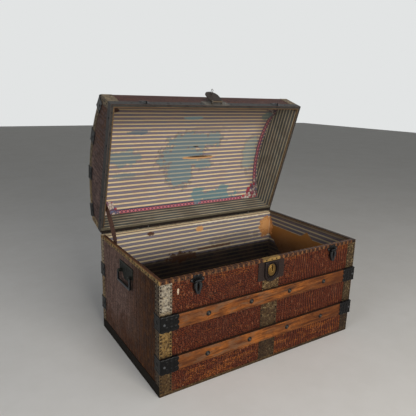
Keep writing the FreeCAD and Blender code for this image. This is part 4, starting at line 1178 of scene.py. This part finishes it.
@dataclass
class Slats:
    """The wooden slats with their iron end clamps and nails, on the box and over the dome."""

    half_width: float = 25
    thick: float = 9
    soft: float = 3.2
    clamp_base: float = 1.3
    clamp_rise: float = 1.6
    bend: float = 3
    corner_x: float = 428
    corner_out: float = 6
    waver: float = 0.45
    clamp_half: float = 25.4
    lobe: float = 1.6
    lobe_pitch: float = 19
    knob: float = 5.6
    knob_pitch: float = 15.5
    knob_out: float = 13
    clamp_nail: tuple[float, float] = (-12, 0)
    nail_sink: float = 0.6

    def bar(self, work: Workpiece, place: Matrix, arch: float, seed: float) -> None:
        """One slat, hand-planed and rubbed: round on its long edges, and hollow underneath on an arch."""
        def facing(s: float, t: float) -> Skin:
            x, v = s * HALF_WIDTH, self.half_width * math.sin(t * QUARTER)
            waver = noise.noise(Vector((x / 90, t * 2, seed))) * self.waver
            nick = max(0, noise.noise(Vector((x / 17, t * 3, seed + 9))) - 0.25) * 1.3 * abs(t) ** 6
            over = max(0, abs(v) - (self.half_width - self.soft))
            end = max(0, abs(x) - (HALF_WIDTH - self.soft))
            top = self.thick - 2 * self.soft + math.sqrt(self.soft ** 2 - over ** 2)
            top += math.sqrt(self.soft ** 2 - end ** 2)
            seat = math.sqrt(arch ** 2 - v ** 2) - arch if arch else 0
            high = Vector((x, v - math.copysign(nick, v), top + waver - self.waver - nick))
            return high, Vector((x, v, seat)), 0
        work.relief((110, 12), facing, place)

    def clamp(self, work: Workpiece, place: Matrix, reach: float, leg: float) -> None:
        """One cast clamp: a lobed plate over the slat's end with rows of knobs, bent down over the corner.

        Args:
            work: the piece that it goes into.
            place: the slat's place, turned about for a left end.
            reach: how far it goes along the slat.
            leg: how far it goes down past the slat's seat.
        """
        bend, corner_x, corner_out = self.bend, self.corner_x, self.corner_out
        start, stop = -bend - (reach - 2), bend + corner_out + leg

        def wrap(u: float, h: float) -> tuple[float, float]:
            if u <= -bend:
                return corner_x + u + bend, self.thick + h
            if u < bend:
                angle = (u + bend) / (2 * bend) * QUARTER
                return corner_x + math.sin(angle) * (bend + h), corner_out + math.cos(angle) * (bend + h)
            return TRIM_X + h, corner_out - (u - bend)

        knobs = [(start + 11 + self.knob_pitch * i, side * self.knob_out) for i in range(3) for side in SIDES]

        def facing(s: float, t: float) -> Skin:
            far, foot = start + 5 * notch(t), stop - 6 * notch(t, 1)
            u = far + (foot - far) * (s + 1) / 2
            v = t * (self.clamp_half + self.lobe * abs(math.cos(math.pi * (u - start) / self.lobe_pitch)))
            raised = sum(boss(u, v, knob, self.knob) for knob in knobs)
            raised += 0.7 * boss(u, v, (start + 26, 0), 4) + boss(u, v, self.clamp_nail, 5.4)
            raised += boss(u, v, ((bend + stop) / 2 + 2, 0), 6.5)
            rim = 0.42 if abs(t) > 0.84 or s < -0.93 or s > 0.94 else 0
            edge = abs(t) > 0.999
            h = self.clamp_base * 0.6 if edge or abs(s) > 0.999 else (
                self.clamp_base + self.clamp_rise * min(1, max(raised, rim)))
            a, o = wrap(u, h)
            under_a, under_o = wrap(u, 0.05)
            bright = 0 if raised < 0.05 else (1 if boss(u, v, self.clamp_nail, 4.4) > 0.3 else 0.35)
            return Vector((a, v, o)), Vector((under_a, v, 0 if edge and u < -bend else under_o)), bright
        work.relief((64, 28), facing, place)

    def head(self) -> Workpiece:
        """A slat nail's head: a round dome on a flat dark flange."""
        nail = Workpiece("nail")
        nail.turned([(0, 4.9), (2.4, 4.6), (4.2, 3.6), (5.4, 2.3), (6.2, 1.8), (8.2, 1.6), (8.9, 0.9), (9, 0),
                     (0, 0)], 18)
        return nail

    def rows(self, word: str, places: dict[float, Matrix], nails: Workpiece, arch: float = 0,
             reach: float = 63, leg: float = 38, seed: float = 0) -> tuple[Workpiece, Workpiece]:
        """Slats side by side, with a clamp on each end and nails along them.

        Args:
            word: what the pieces' names start with.
            places: the place of each slat by its row.
            nails: the piece that the nails go into.
            arch: the radius that the slats lie on, or 0 where it is flat.
            reach: how far the clamps go along the slats.
            leg: how far the clamps go down past the slats' seat.
            seed: added to each row for the wood's own unevenness.

        Returns:
            The wood and the clamps.
        """
        wood, clamps, head = Workpiece(word + "_slat_wood"), Workpiece(word + "_clamp_castings"), self.head()
        for row, place in places.items():
            self.bar(wood, place, arch, row + seed)
            for turn in (0, math.pi):
                self.clamp(clamps, place @ Matrix.Rotation(turn, 4, "Z"), reach, leg)
            nails.stamp(head, [place @ Matrix.Translation((x, 0, self.thick - self.nail_sink))
                               for x in NAIL_COLUMNS])
        return wood, clamps

    def build(self) -> None:
        """Makes the slats, clamps and nails of the box and of the lid."""
        nails = Workpiece("slat_nail_heads")
        for back, word in enumerate(("front", "back")):
            wood, clamps = self.rows(word, {row: on_face(back, row) for row in SLAT_ROWS}, nails, seed=back)
            wood.set_down(Body.BOX, Slot.SLAT, BOX_SLAT, word + "_slats")
            clamps.set_down(Body.BOX, Slot.IRON, CAST_IRON, word + "_slat_clamps")
        nails.set_down(Body.BOX, Slot.NAIL, NAIL_STEEL, "body_slat_nails")
        nails = Workpiece("dome_nail_heads")
        wood, clamps = self.rows("dome", {row: on_dome(row) for row in DOME_ROWS}, nails, DOME_RADIUS, 60, 34)
        wood.set_down(Body.LID, Slot.SLAT, LID_SLAT, "lid_slats")
        clamps.set_down(Body.LID, Slot.IRON, LID_CAST_IRON, "lid_slat_clamps")
        nails.set_down(Body.LID, Slot.NAIL, LID_NAIL_STEEL, "lid_slat_nails")


# ---------------------------------------------------------------- tacks in the tin


@dataclass
class Tacks:
    """Small tacks along every tin edging, and screws in the hinges and base irons."""

    pitch: float = 22
    rim_z: float = 389.5
    seed: int = 4
    unevenness: float = 1.2
    front_insets: tuple[float, float] = (4, 38)
    end_insets: tuple[float, float] = (4, 24)
    strip_x: float = 32
    hinge_x: float = 260
    slat_clear: float = 31
    latch_clear: float = 29
    hasp_clear: float = 64

    def pattern(self, radius: float, rise: float) -> Workpiece:
        """One small domed head."""
        tack = Workpiece("tack")
        profile = [(0, rise), (radius * 0.6, rise * 0.8), (radius, rise * 0.25), (radius, -0.3), (0, -0.3)]
        tack.turned(profile, 8)
        return tack

    def steps(self, start: float, stop: float, pitch: float) -> list[float]:
        """Places from start to stop, set by hand so never quite even."""
        count = max(1, round((stop - start) / pitch))
        return [start + (stop - start) * k / count + self.dice.uniform(-self.unevenness, self.unevenness)
                for k in range(count + 1)]

    def climb(self, low: float, pitch: float) -> list[float]:
        """Heights up a corner, clear of the slats and their clamps."""
        return [z for z in self.steps(low, 378, pitch)
                if all(abs(z - row) > self.slat_clear for row in SLAT_ROWS)]

    def box_places(self) -> list[Matrix]:
        """Tacks on the corners, the rim and the centre strip of the box."""
        spots = []
        for face in SIDES:
            out = (0, face, 0)
            for side in SIDES:
                for inset in self.front_insets:
                    x, y = side * (HALF_WIDTH - inset), face * TRIM_Y
                    spots += [((x, y, z), out) for z in self.climb(16, 11.7)]
                for inset in self.end_insets:
                    spots += [((side * TRIM_X, face * (HALF_DEPTH - inset), z), (side, 0, 0))
                              for z in self.climb(44, 14)]
            spots += [((x, face * TRIM_Y, self.rim_z), out) for x in self.steps(-420, 420, self.pitch)
                      if face > 0 or abs(abs(x) - LATCH_X) > self.latch_clear]
        for side in SIDES:
            spots += [((side * TRIM_X, y, self.rim_z), (side, 0, 0))
                      for y in self.steps(-250, 250, self.pitch)]
            spots += [((side * self.strip_x, -TRIM_Y, z), (0, -1, 0))
                      for low, high in ((14, 80), (142, 224), (288, 308)) for z in self.steps(low, high, 21)]
        return [facing_out(*spot) for spot in spots]

    def lid_places(self) -> list[Matrix]:
        """Tacks on the closed lid: round the rim band, and along both edges of the end edgings."""
        spots = []
        for face in SIDES:
            spots += [((x, face * TRIM_Y, 412), (0, face, 0))
                      for x in self.steps(-350, 350, 140) if face > 0 or abs(x) > self.hasp_clear]
        for side in SIDES:
            out = Vector((side, 0, 0))
            for length in self.steps(-262, 262, self.pitch):
                angle = length / DOME_RADIUS
                up = Vector((0, math.sin(angle), math.cos(angle)))
                if all(abs(length - DOME_RADIUS * math.asin(row / DOME_RADIUS)) > 32 for row in DOME_ROWS):
                    for inward, at_x, way in ((12, TRIM_X, out), (-1, 398, up)):
                        spots.append((UP * DOME_CENTRE + up * (DOME_RADIUS - inward) + out * at_x, way))
            for face in SIDES:
                spots += [((side * TRIM_X, face * 248, z), out) for z in self.steps(436, 478, self.pitch)]
        return [facing_out(*spot) for spot in spots]

    def build(self) -> None:
        """Makes the tacks of the box and the lid, and the screws in their ends and hinges."""
        self.dice = random.Random(self.seed)
        tack, screw = self.pattern(2.7, 1.4), self.pattern(4.2, 1.6)
        hinge_spots = [(side * self.hinge_x + x, z)
                       for side in SIDES for x, z in ((-22, 18), (0, 32), (22, 18))]
        for name, body, places, way, far, x, z in (
                ("box_tacks", Body.BOX, self.box_places, -1, 225, 431.6, 22),
                ("lid_tacks", Body.LID, self.lid_places, 1, 208, TRIM_X, 408)):
            work = Workpiece(name)
            work.stamp(tack, places())
            work.stamp(screw, [facing_out((side * x, y, z), (side, 0, 0))
                               for side in SIDES for y in (-far, -(far // 2), 0, far // 2, far)])
            work.stamp(screw, [facing_out((at, 262.6, HINGE.z + way * off), (0, 1, 0))
                               for at, off in hinge_spots])
            work.set_down(body, Slot.NAIL, TACK_STEEL)


# ---------------------------------------------------------------- lock and hasp


@dataclass
class Lock:
    """The lock's stamped plate, horseshoe casting and brass face, and the stamped strip behind them."""

    middle: float = 351
    half_wide: float = 57.5
    half_high: float = 34
    slot_middle: float = 360
    slot_half: tuple[float, float] = (4.4, 13)
    face_middle: float = 351.9
    face_half: tuple[float, float] = (16.4, 21.8)
    face_slot: tuple[float, float] = (-4.2, 19.2)
    shoe_half: float = 31
    shoe_top: float = 32.6
    shoe_drop: float = 11.4
    opening_half: float = 20
    opening_square: float = 5.4
    strip_half: float = 36
    plate_thick: float = 1.5
    leaf_x: float = 44

    def in_slot(self, x: float, z: float) -> bool:
        """Whether a spot is in the slot that the staple goes through."""
        return abs(x) < self.slot_half[0] and abs(z - self.slot_middle) < self.slot_half[1]

    def plate(self) -> None:
        """The backing plate, stamped with leaves that curl away from the horseshoe."""
        def facing(s: float, t: float) -> Skin:
            x, v = s * self.half_wide, t * self.half_high
            rim = 1 if max(abs(s), abs(t)) > 0.94 else 0
            across = abs(x) - self.leaf_x
            leaf = 0.5 + 0.5 * math.sin(math.hypot(across, v) * 0.75 + 3 * math.atan2(v, across))
            lift = max(rim * 0.6, leaf * (abs(x) > 38))
            return skin(x, v, 0.7 + 0.8 * lift, lift * 0.75)
        work = Workpiece("lock_plate_stamped")
        work.relief((69, 39), facing, on_face(False, self.middle),
                    lambda s, t: self.in_slot(s * self.half_wide, self.middle + t * self.half_high))
        work.set_down(Body.BOX, Slot.LOCK, LOCK_PLATE, "lock_plate")

    def outer(self, run: Vector) -> float:
        """How far the horseshoe's outside is from the brass face's middle in a direction."""
        across, up = abs(run.x), run.y
        to_side = self.shoe_half / max(across, TINY)
        if up >= 0:
            return min(to_side, self.shoe_top / max(up, TINY))
        if self.shoe_drop + up * to_side >= 0:
            return to_side
        return self.shoe_drop * -up + math.sqrt(self.shoe_half ** 2 - (self.shoe_drop * across) ** 2)

    def inner(self, run: Vector) -> float:
        """How far the horseshoe's opening is from that middle in a direction."""
        across, up = abs(run.x), abs(run.y)
        to_side = self.opening_half / max(across, TINY)
        square = self.opening_square
        if up * to_side <= square:
            return to_side
        return square * up + math.sqrt(self.opening_half ** 2 - (square * across) ** 2)

    def shoe(self) -> None:
        """The horseshoe: round below and square above, a groove between its two beads."""
        def facing(s: float, t: float) -> Skin:
            run = Vector((math.sin(s * math.pi), -math.cos(s * math.pi)))
            near, far = self.inner(run), self.outer(run)
            spot = run * (near + (far - near) * (t + 1) / 2)
            bead = crest(t + 0.72, 0.3) * 0.75 + crest(t - 0.55, 0.52)
            return Vector((*spot, 2.6 + 4.2 * min(1, bead) ** 0.7)), Vector((*spot, 0)), bead * 0.85
        work = Workpiece("horseshoe_casting")
        work.relief((96, 16), facing, on_face(False, self.face_middle, TRIM_Y + self.plate_thick))
        work.set_down(Body.BOX, Slot.LOCK, SHOE_IRON, "lock_horseshoe")

    def face(self) -> None:
        """The brass face: a tall pillow with the staple's slot through it."""
        half_wide, half_high = self.face_half

        def facing(s: float, t: float) -> Skin:
            across, up = s * math.sqrt(1 - t * t / 2), t * math.sqrt(1 - s * s / 2)
            round_ = min(1, across ** 2 + up ** 2)
            rise = 1.2 + 3.6 * math.sqrt(1 - 0.92 * round_)
            groove = 0.8 * crest(abs(round_ ** 0.5 - 0.8), 0.07)
            return skin(half_wide * across, half_high * up, rise - groove, max(0, 0.9 - round_))
        work = Workpiece("lock_brass_face")
        work.relief((35, 41), facing, on_face(False, self.face_middle, TRIM_Y + self.plate_thick),
                    lambda s, t: abs(s) < 0.15 and self.face_slot[0] < t * half_high < self.face_slot[1])
        work.set_down(Body.BOX, Slot.BRASS, LOCK_BRASS, "lock_face")

    def strip(self) -> None:
        """The stamped strip down the middle of the front: a running scroll in relief."""
        low, high, scroll = 9, 384, 44
        half, middle = (high - low) / 2, (high + low) / 2

        def facing(s: float, t: float) -> Skin:
            x, z = s * self.strip_half, middle + t * half
            swing = 16 * math.sin(z / 14)
            stem = crest(x - swing, 3.4)
            curl = math.hypot(x + swing * 0.8, z % scroll - scroll / 2)
            ring = crest(curl - 8, 2.6)
            rim = 1 if abs(s) > 0.93 else 0
            lift = max(stem, ring, rim * 0.7)
            return skin(x, z - middle, 0.45 + 0.85 * lift, lift * 0.8)
        work = Workpiece("centre_strip_stamped")
        work.relief((36, 170), facing, on_face(False, middle, HALF_DEPTH),
                    lambda s, t: self.in_slot(s * self.strip_half, middle + t * half))
        work.set_down(Body.BOX, Slot.TIN, STRIP_TIN, "front_centre_strip")

    def build(self) -> None:
        """Makes the lock's pieces."""
        self.strip()
        self.plate()
        self.shoe()
        self.face()
        dress(PLAIN_IRON, "lock_case", "lock_bolt")


@dataclass
class Hasp:
    """The hasp's plate on the lid, and the hasp with its staple, thrown back."""

    pivot: tuple[float, float] = (-271.8, 412)
    back_angle: float = math.radians(168)
    half_wide: float = 58
    half_high: float = 21
    ear_x: float = 21.4
    ear_half: float = 2
    pin: tuple[float, float] = (23.6, 2)
    knuckle: float = 19
    neck: float = 16

    def plate(self) -> None:
        """The plate with its two ears and the pin that joins them."""
        def facing(s: float, t: float) -> Skin:
            wave = 1 - 0.07 * notch(t)
            x, v = s * self.half_wide * wave, t * self.half_high
            raised = max(boss(abs(x), v, (47, 0), 6), boss(abs(x), v, (33, -9), 5) * 0.6,
                         boss(abs(x), v, (33, 9), 5) * 0.6, 0.5 if abs(t) > 0.9 else 0)
            return skin(x, v, 0.8 + 0.7 * raised, raised)
        work = Workpiece("hasp_plate_casting")
        work.relief((58, 24), facing, on_face(False, LID_RIM + self.half_high))
        y, z = self.pivot
        for side in SIDES:
            ear = side * self.ear_x
            work.block((ear - self.ear_half, y, z - 4.4), (ear + self.ear_half, -261.2, z + 4.4), 1.6)
            work.rod((ear, y, z), self.ear_half, 4.5)
        work.rod((0, y, z), *self.pin)
        work.set_down(Body.LID, Slot.LOCK, HASP_PLATE, "hasp_plate")

    def tongue(self) -> None:
        """The hasp: a knuckle, a shield with a raised rim and boss, and the staple behind it."""
        y, z = self.pivot
        top, tip, bow, wide = z - 3, z - 70, z - 41, 29

        def facing(s: float, t: float) -> Skin:
            height = tip + (top - tip) * (1 - math.cos((t + 1) * QUARTER)) / 2
            half = wide * arc((bow - height) / wide) if height < bow else wide
            if height > z - self.neck:
                half = self.knuckle + (wide - self.knuckle) * arc((height - z + self.neck) / 13)
            half = max(half, 1)
            x = s * half
            rim = 0.8 if abs(s) > 0.86 or t < -0.86 else 0
            lift = max(rim, boss(x, height, (0, bow), 12))
            return skin(x, height, 1 + 0.9 * lift, lift, -1.4)
        work = Workpiece("hasp_casting")
        work.relief((28, 36), facing, on_face(False, 0, -y))
        work.rod((0, y, z), self.knuckle, 4.4)
        loop = [Vector((0, *spot)) for spot in ((y + 1, 365), (-250.2, 365), (-250.2, 355), (y + 1, 355))]
        work.swept(rounded_line(loop, 2.6), lambda _: (1, 1), RIGHT, 10)
        about = Vector((0, *self.pivot))
        turn = Matrix.Rotation(-self.back_angle, 4, "X")
        place = LID_OPEN @ Matrix.Translation(about) @ turn @ Matrix.Translation(-about)
        work.set_down(Body.HASP, Slot.LOCK, HASP_IRON, "hasp", place=place)

    def build(self) -> None:
        """Makes the plate and the hasp."""
        self.plate()
        self.tongue()


# ---------------------------------------------------------------- latches


@dataclass
class Latches:
    """Two loop latches on the front, and the keepers they drop over."""

    pivot_out: float = 268.5
    pivot_z: float = 374
    length: float = 42.5
    slot: tuple[float, float] = (7, 31)
    base_half: float = 19
    waist: float = 12
    ear_x: float = 11.9
    ear_half: float = 1.5
    pin: tuple[float, float] = (13.6, 1.7)
    knuckle: tuple[float, float] = (9.8, 3.4)
    wide: float = 15
    keeper_half: float = 18

    def base(self, work: Workpiece, middle: float) -> None:
        """A plate with a nailed wing at each side and two lobes above, its ears and pin."""
        def facing(s: float, t: float) -> Skin:
            v = self.base_half * t + self.base_half
            wing = self.waist + 13 * arc((v - 22.5) / 8.5)
            x = s * max(wing, self.wide if v > 24 else self.waist)
            nail = boss(abs(x), v, (20, 22), 3.4)
            lobe = boss(abs(x), v, (7.6, 31.5), 7.4)
            rim = 0.4 if abs(s) > 0.88 else 0
            lift = max(1.1 * nail, lobe, rim)
            return skin(x, v, 1.4 + 1.6 * lift, nail + 0.5 * lobe + 0.4 * rim)
        work.relief((40, 36), facing, on_face(False, 356, x=middle))
        for side in SIDES:
            ear = middle + side * self.ear_x
            work.block((ear - self.ear_half, -271.6, 370.6), (ear + self.ear_half, -261.6, 377.4), 1.3)
        work.rod((middle, -self.pivot_out, self.pivot_z), *self.pin, 12)

    def drop(self, t: float) -> float:
        """How far below its pivot the lever is at t."""
        return 1 + (self.length - 1) * (1 - t) / 2

    def half(self, drop: float) -> float:
        """Half the lever's width at a drop below its pivot."""
        if drop < 5.4:
            return self.knuckle[0]
        if drop < 8:
            return 10 + (self.wide - 10) * arc((8 - drop) / 2.6)
        if drop < 20:
            return self.wide
        if drop < 35:
            return self.wide - 6.5 * (drop - 20) / 15
        return 0.8 + 7.7 * arc((drop - 35) / (self.length - 35))

    def loop(self, word: str, body: Body, middle: float) -> None:
        """A broad slotted lever that tapers to a round tip, with a rolled knuckle at its top."""
        def facing(s: float, t: float) -> Skin:
            drop = self.drop(t)
            lift = arc((abs(s) - 0.6) / 0.42)
            lift = max(lift, 0.9 * arc(s)) if drop > self.slot[1] else lift
            return skin(s * self.half(drop), -drop, 0.1 + 1.9 * lift, lift * 0.8, -1.4)
        work = Workpiece(word + "_latch_bar")
        work.relief((20, 42), facing, on_face(False, self.pivot_z, self.pivot_out, middle),
                    lambda s, t: abs(s) < 0.2 and self.slot[0] < self.drop(t) < self.slot[1])
        work.rod((middle, -self.pivot_out, self.pivot_z), *self.knuckle)
        work.set_down(body, Slot.IRON, CAST_IRON, word + "_latch_loop")

    def keepers(self) -> None:
        """Lobed plates on the lid's rim with a tooth each."""
        def facing(s: float, t: float) -> Skin:
            lobe = 1 - 0.16 * notch(t)
            x, v = s * self.keeper_half * lobe, t * self.keeper_half
            ring = crest(math.hypot(x, v + 3) - 9, 3)
            lift = max(ring, boss(abs(x), v, (11, 11), 4))
            return skin(x, v, 1.3 + 1.6 * lift, lift)
        work = Workpiece("keeper_castings")
        for middle in (-LATCH_X, LATCH_X):
            work.relief((26, 26), facing, on_face(False, LID_RIM + self.keeper_half, x=middle))
            work.block((middle - 1.7, -272.2, 400.6), (middle + 1.7, -261.4, 404.6), 0.5)
        work.set_down(Body.LID, Slot.IRON, LID_CAST_IRON, "latch_keepers")

    def build(self) -> None:
        """Makes both latches and their keepers."""
        bases = Workpiece("latch_base_castings")
        for middle in (-LATCH_X, LATCH_X):
            self.base(bases, middle)
        bases.set_down(Body.BOX, Slot.IRON, CAST_IRON, "latch_bases")
        for word, body, middle in (("left", Body.LEFT_LATCH, -LATCH_X), ("right", Body.RIGHT_LATCH, LATCH_X)):
            self.loop(word, body, middle)
        self.keepers()


# ---------------------------------------------------------------- end handles


@dataclass
class Handles:
    """An iron plate with two eyes on each end, and the bail that hangs from them."""

    out: float = 440
    pivot_z: float = 327
    drop: float = 38
    leg_y: float = 53.9
    end_y: float = 41
    eye_x: float = 45
    eye_out: float = 10
    bar: float = 2.9
    swell: float = 1.7
    step: float = 9

    def plate(self, work: Workpiece, place: Matrix) -> None:
        """A pressed plate with a raised frame and a tongue below it, and its eyes."""
        foot, shoulder, head = -25, -5, 35
        middle, reach = (shoulder + head) / 2, (head - shoulder) / 2

        def facing(s: float, t: float) -> Skin:
            v = foot + (t + 1) / 2 * (head - foot)
            if v > shoulder:
                half = 58 + 4 * arc(((v - middle) / reach) ** 4)
            else:
                half = 35 - 12 * (shoulder - v) / (shoulder - foot)
            x = s * half
            frame_ = 1 if 0.80 < abs(s) < 0.92 and v > 0 else (1 if v > 29 else 0)
            lift = max(frame_, boss(abs(x), v, (54, 26), 4), 0.8 * boss(x, v, (0, 14), 8))
            return skin(x, v, 1.4 + 1.1 * lift, lift * 0.8)
        work.relief((48, 40), facing, place)
        for side in SIDES:
            x = side * self.eye_x
            work.block((x - 4.5, -5.6, 1), (x + 4.5, 5.6, self.eye_out), 1.4, place)
            eye = place @ Matrix.Translation((x, 0, self.eye_out)) @ Matrix.Rotation(QUARTER, 4, "Y")
            profile = [(3.4, 4.4), (5.2, 4.4), (5.95, 3.4), (5.95, -3.4), (5.2, -4.4), (3.4, -4.4)]
            work.turned(profile, 18, eye, ring=True)

    def bail(self, side: int, word: str, body: Body) -> None:
        """The bail: a bar bent square, thicker along its grip."""
        half = [(self.leg_y, self.pivot_z - self.drop), (self.leg_y, self.pivot_z),
                (self.end_y, self.pivot_z)]
        corners = [(-y, z) for y, z in reversed(half)] + half
        line = rounded_line([Vector((side * self.out, *corner)) for corner in corners], 6, 6)
        grip = []
        for before, after in zip(line, line[1:]):
            parts = max(1, int((after - before).length / self.step))
            grip += [before.lerp(after, k / parts) for k in range(parts)]
        grip.append(line[-1])
        work = Workpiece(word + "_bail_bar")
        work.swept(grip, lambda share: (self.bar + self.swell * min(1, 4.5 * min(share, 1 - share)),) * 2,
                   Vector((side, 0, 0)), 14)
        work.set_down(body, Slot.IRON, CAST_IRON, word + "_handle_bail")

    def build(self) -> None:
        """Makes both plates and both bails."""
        plates = Workpiece("handle_plate_castings")
        for side in SIDES:
            turn = Matrix.Rotation(side * QUARTER, 4, "Z")
            self.plate(plates, turn @ on_face(False, self.pivot_z, HALF_WIDTH))
        plates.set_down(Body.BOX, Slot.IRON, SLATE_IRON, "handle_plates")
        self.bail(-1, "left", Body.LEFT_BAIL)
        self.bail(1, "right", Body.RIGHT_BAIL)


# ---------------------------------------------------------------- stay strap


@dataclass
class Stay:
    """The leather strap that holds the lid, from a plate on the box's wall to one on the lid's."""

    foot: Vector = Vector((-412, 145, 381))
    head_closed: Vector = Vector((-412, 145, 419))
    sag: float = 6
    bulge: float = 5
    twist: float = math.radians(58)
    steps: int = 26
    overlap: float = 8
    half_wide: float = 8.3
    half_thick: float = 1.15
    plate_x: float = -410.8

    def build(self) -> None:
        """Makes the strap, which is twisted a little, and a rivet at each end."""
        head = LID_OPEN @ self.head_closed
        run = head - self.foot
        lap = run.normalized() * self.overlap
        start, stop = self.foot - lap, head + lap
        hang = RIGHT * self.bulge - UP * self.sag
        shares = [k / self.steps for k in range(self.steps + 1)]
        line = [start.lerp(stop, share) + hang * math.sin(share * math.pi) for share in shares]
        strap = Workpiece("stay_strap_leather")
        across = run.normalized().cross(RIGHT)

        def lean(share: float) -> Vector:
            turn = self.twist * math.sin(share * math.pi)
            return RIGHT * math.cos(turn) + across * math.sin(turn)

        strap.swept(line, lambda share: (self.half_wide + 0.3 * math.sin(share * 40), self.half_thick),
                    lean, 16, 0.35)
        leather = StrapLeather("cracked strap leather")
        piece = strap.set_down(Body.BOX, Slot.STRAP, leather, "stay_strap", ride=False)
        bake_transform(piece)
        profile = [(0, 1.8), (2.6, 1.4), (3.8, 0.4), (3.8, -0.6), (0, -0.6)]
        for name, body, spot in (("stay_foot_rivet", Body.BOX, self.foot),
                                 ("stay_head_rivet", Body.LID, head)):
            rivet = Workpiece(name)
            rivet.turned(profile, 12, facing_out((self.plate_x, spot.y, spot.z), RIGHT))
            rivet.set_down(body, Slot.NAIL, TACK_STEEL, place=Matrix())
        dress(PLAIN_IRON, "stay_anchor", "stay_bracket")


# ---------------------------------------------------------------- the shells of box and lid


class Shells:
    """Boards, covers, linings and plain trim, which keep the frame's shapes."""

    def build(self) -> None:
        """Dresses every node that isn't replaced."""
        dress(BOX_WOOD, "front_board", "back_board", "left_end_board", "right_end_board", "bottom_board")
        dress(FRONT_COVER, "front_cover")
        dress(BACK_COVER, "back_cover")
        dress(END_COVER, "left_end_cover", "right_end_cover")
        dress(BOX_PAPER, "body_lining")
        dress(BOX_TIN, "front_corner_edgings", "back_corner_edgings", "bottom_edging")
        dress(RIM_TIN, "body_rim_edging")
        dress(BASE_IRON, "base_irons")
        dress(PLAIN_IRON, "hinge_body_leaves", "hinge_pins")
        dress(LID_WOOD, "lid_front_board", "lid_back_board", "lid_left_end_board", "lid_right_end_board",
              "lid_staves")
        dress(LID_COVER, "lid_collar_covers", "lid_dome_cover")
        dress(LID_END_COVER, "lid_end_covers")
        dress(DOME_PAPER, "lid_dome_lining")
        dress(LID_WALL_PAPER, "lid_wall_lining")
        dress(BAND_IRON, "lid_rim_band")
        dress(LID_TIN, "lid_left_edging", "lid_right_edging")
        dress(LID_PLAIN_IRON, "hinge_lid_leaves")
        # painted shade: a dark strip along the back joint, standing for the shadow in the gap between box and
        # lid
        shade_strip = Workpiece("back_joint_shade_strip")
        for low, high in ((-428, -293.4), (-226.6, 226.6), (293.4, 428)):
            shade_strip.block((low, 261.05, 391), (high, 261.45, 402.5), 0.1)
        shade_strip.set_down(Body.BOX, Slot.STRAP, StrapLeather("joint cloth", crack=(14, 9, 6), hide=(26, 17, 11)))


# ---------------------------------------------------------------- floor, light and camera


@dataclass(frozen=True)
class FloorFinish(Finish):
    """A pale, faintly clouded floor."""

    tone: Rgb = (232, 230, 226)

    def wire(self, b: Bench) -> Surface:
        """Soft clouds in one pale colour."""
        spot = b.place()
        cloud = b.single("Mottle", spot, Size=420)
        colour = b.mix(cloud * 0.25, self.tone, (214, 211, 204))
        return Surface(colour, 0.8, cloud * 0.2)


@dataclass
class Studio:
    """A pale floor, soft lights and the camera."""

    eye: Vector = Vector((-0.9555720, -1.3436227, 0.9288690))
    aim: Vector = Vector((0.51993461, 0.81800194, -0.24605046))
    roll: float = math.radians(1.4806)
    lens: float = 37.883
    backdrop: Rgb = (226, 228, 228)
    sky: float = 0.16
    floor_half: float = 12
    floor_drop: float = 0.0006

    def floor(self) -> None:
        """A wide plain floor under the trunk."""
        work = bmesh.new()
        bmesh.ops.create_grid(work, x_segments=8, y_segments=8, size=self.floor_half)
        mesh = bpy.data.meshes.new("floor")
        work.to_mesh(mesh)
        work.free()
        mesh.materials.append(FloorFinish("pale floor").material())
        floor = bpy.data.objects.new("floor", mesh)
        floor.location.z = -self.floor_drop
        bpy.context.scene.collection.objects.link(floor)

    def lamp(self, name: str, spot: Spot, size: tuple[float, float], power: float, tint: Rgb) -> None:
        """One soft light, so wide and so tall, that looks at the trunk."""
        light = bpy.data.lights.new(name, "AREA")
        light.shape, light.energy = "RECTANGLE", power
        light.size, light.size_y = size
        light.color = paint(tint)[:3]
        lamp = bpy.data.objects.new(name, light)
        away = Vector(spot) - Vector((0, 0, 0.4))
        lamp.matrix_world = Matrix.Translation(spot) @ away.to_track_quat("Z", "Y").to_matrix().to_4x4()
        bpy.context.scene.collection.objects.link(lamp)

    def world(self) -> None:
        """An even sky: pale to the camera and to gloss, and dimmer as light."""
        world = bpy.data.worlds.new("studio")
        bpy.context.scene.world = world
        world.use_nodes = True
        bench = Bench(world.node_tree)
        rays = bench.node("LightPath").outputs
        seen, glossy, passed = (Socket(bench, rays[f"Is {kind} Ray"])
                                for kind in ("Camera", "Glossy", "Transmission"))
        strength = seen.most(glossy).most(passed) * (1 - self.sky) + self.sky
        light = bench.out("Background", {"Color": paint(self.backdrop), "Strength": strength})
        bench.node("OutputWorld", {0: light})

    def camera(self) -> None:
        """The camera, level with the lid's hinge and to the left of the front."""
        right = self.aim.cross(UP).normalized()
        up = right.cross(self.aim)
        tilted = right * math.cos(self.roll) + up * math.sin(self.roll)
        over = up * math.cos(self.roll) - right * math.sin(self.roll)
        turn = Matrix((tilted, over, -self.aim)).transposed().to_4x4()
        data = bpy.data.cameras.new("camera")
        data.lens, data.sensor_width = self.lens, 36
        camera = bpy.data.objects.new("camera", data)
        camera.matrix_world = Matrix.Translation(self.eye) @ turn
        bpy.context.scene.collection.objects.link(camera)
        bpy.context.scene.camera = camera

    def build(self) -> None:
        """Sets up everything that isn't the trunk."""
        self.floor()
        self.world()
        self.lamp("key", (-0.1, -3.4, 1.16), (2, 0.7), 92, (255, 250, 242))
        self.lamp("fill", (-3, -0.9, 1.3), (1.6, 1.6), 26, (240, 246, 255))
        self.lamp("top", (0.3, -1.2, 3.2), (2, 2), 14, (250, 250, 255))
        self.camera()
        bpy.context.scene.view_settings.view_transform = "Standard"


def main() -> None:
    """Builds the trunk and its surroundings."""
    logging.basicConfig(level=logging.INFO, format="%(message)s")
    make_effects()
    for sub_assembly in (Studio(), Shells(), Slats(), Lock(), Hasp(), Latches(), Handles(), Stay(), Tacks()):
        LOG.info("building %s", type(sub_assembly).__name__)
        sub_assembly.build()


if __name__ == "__main__":
    main()
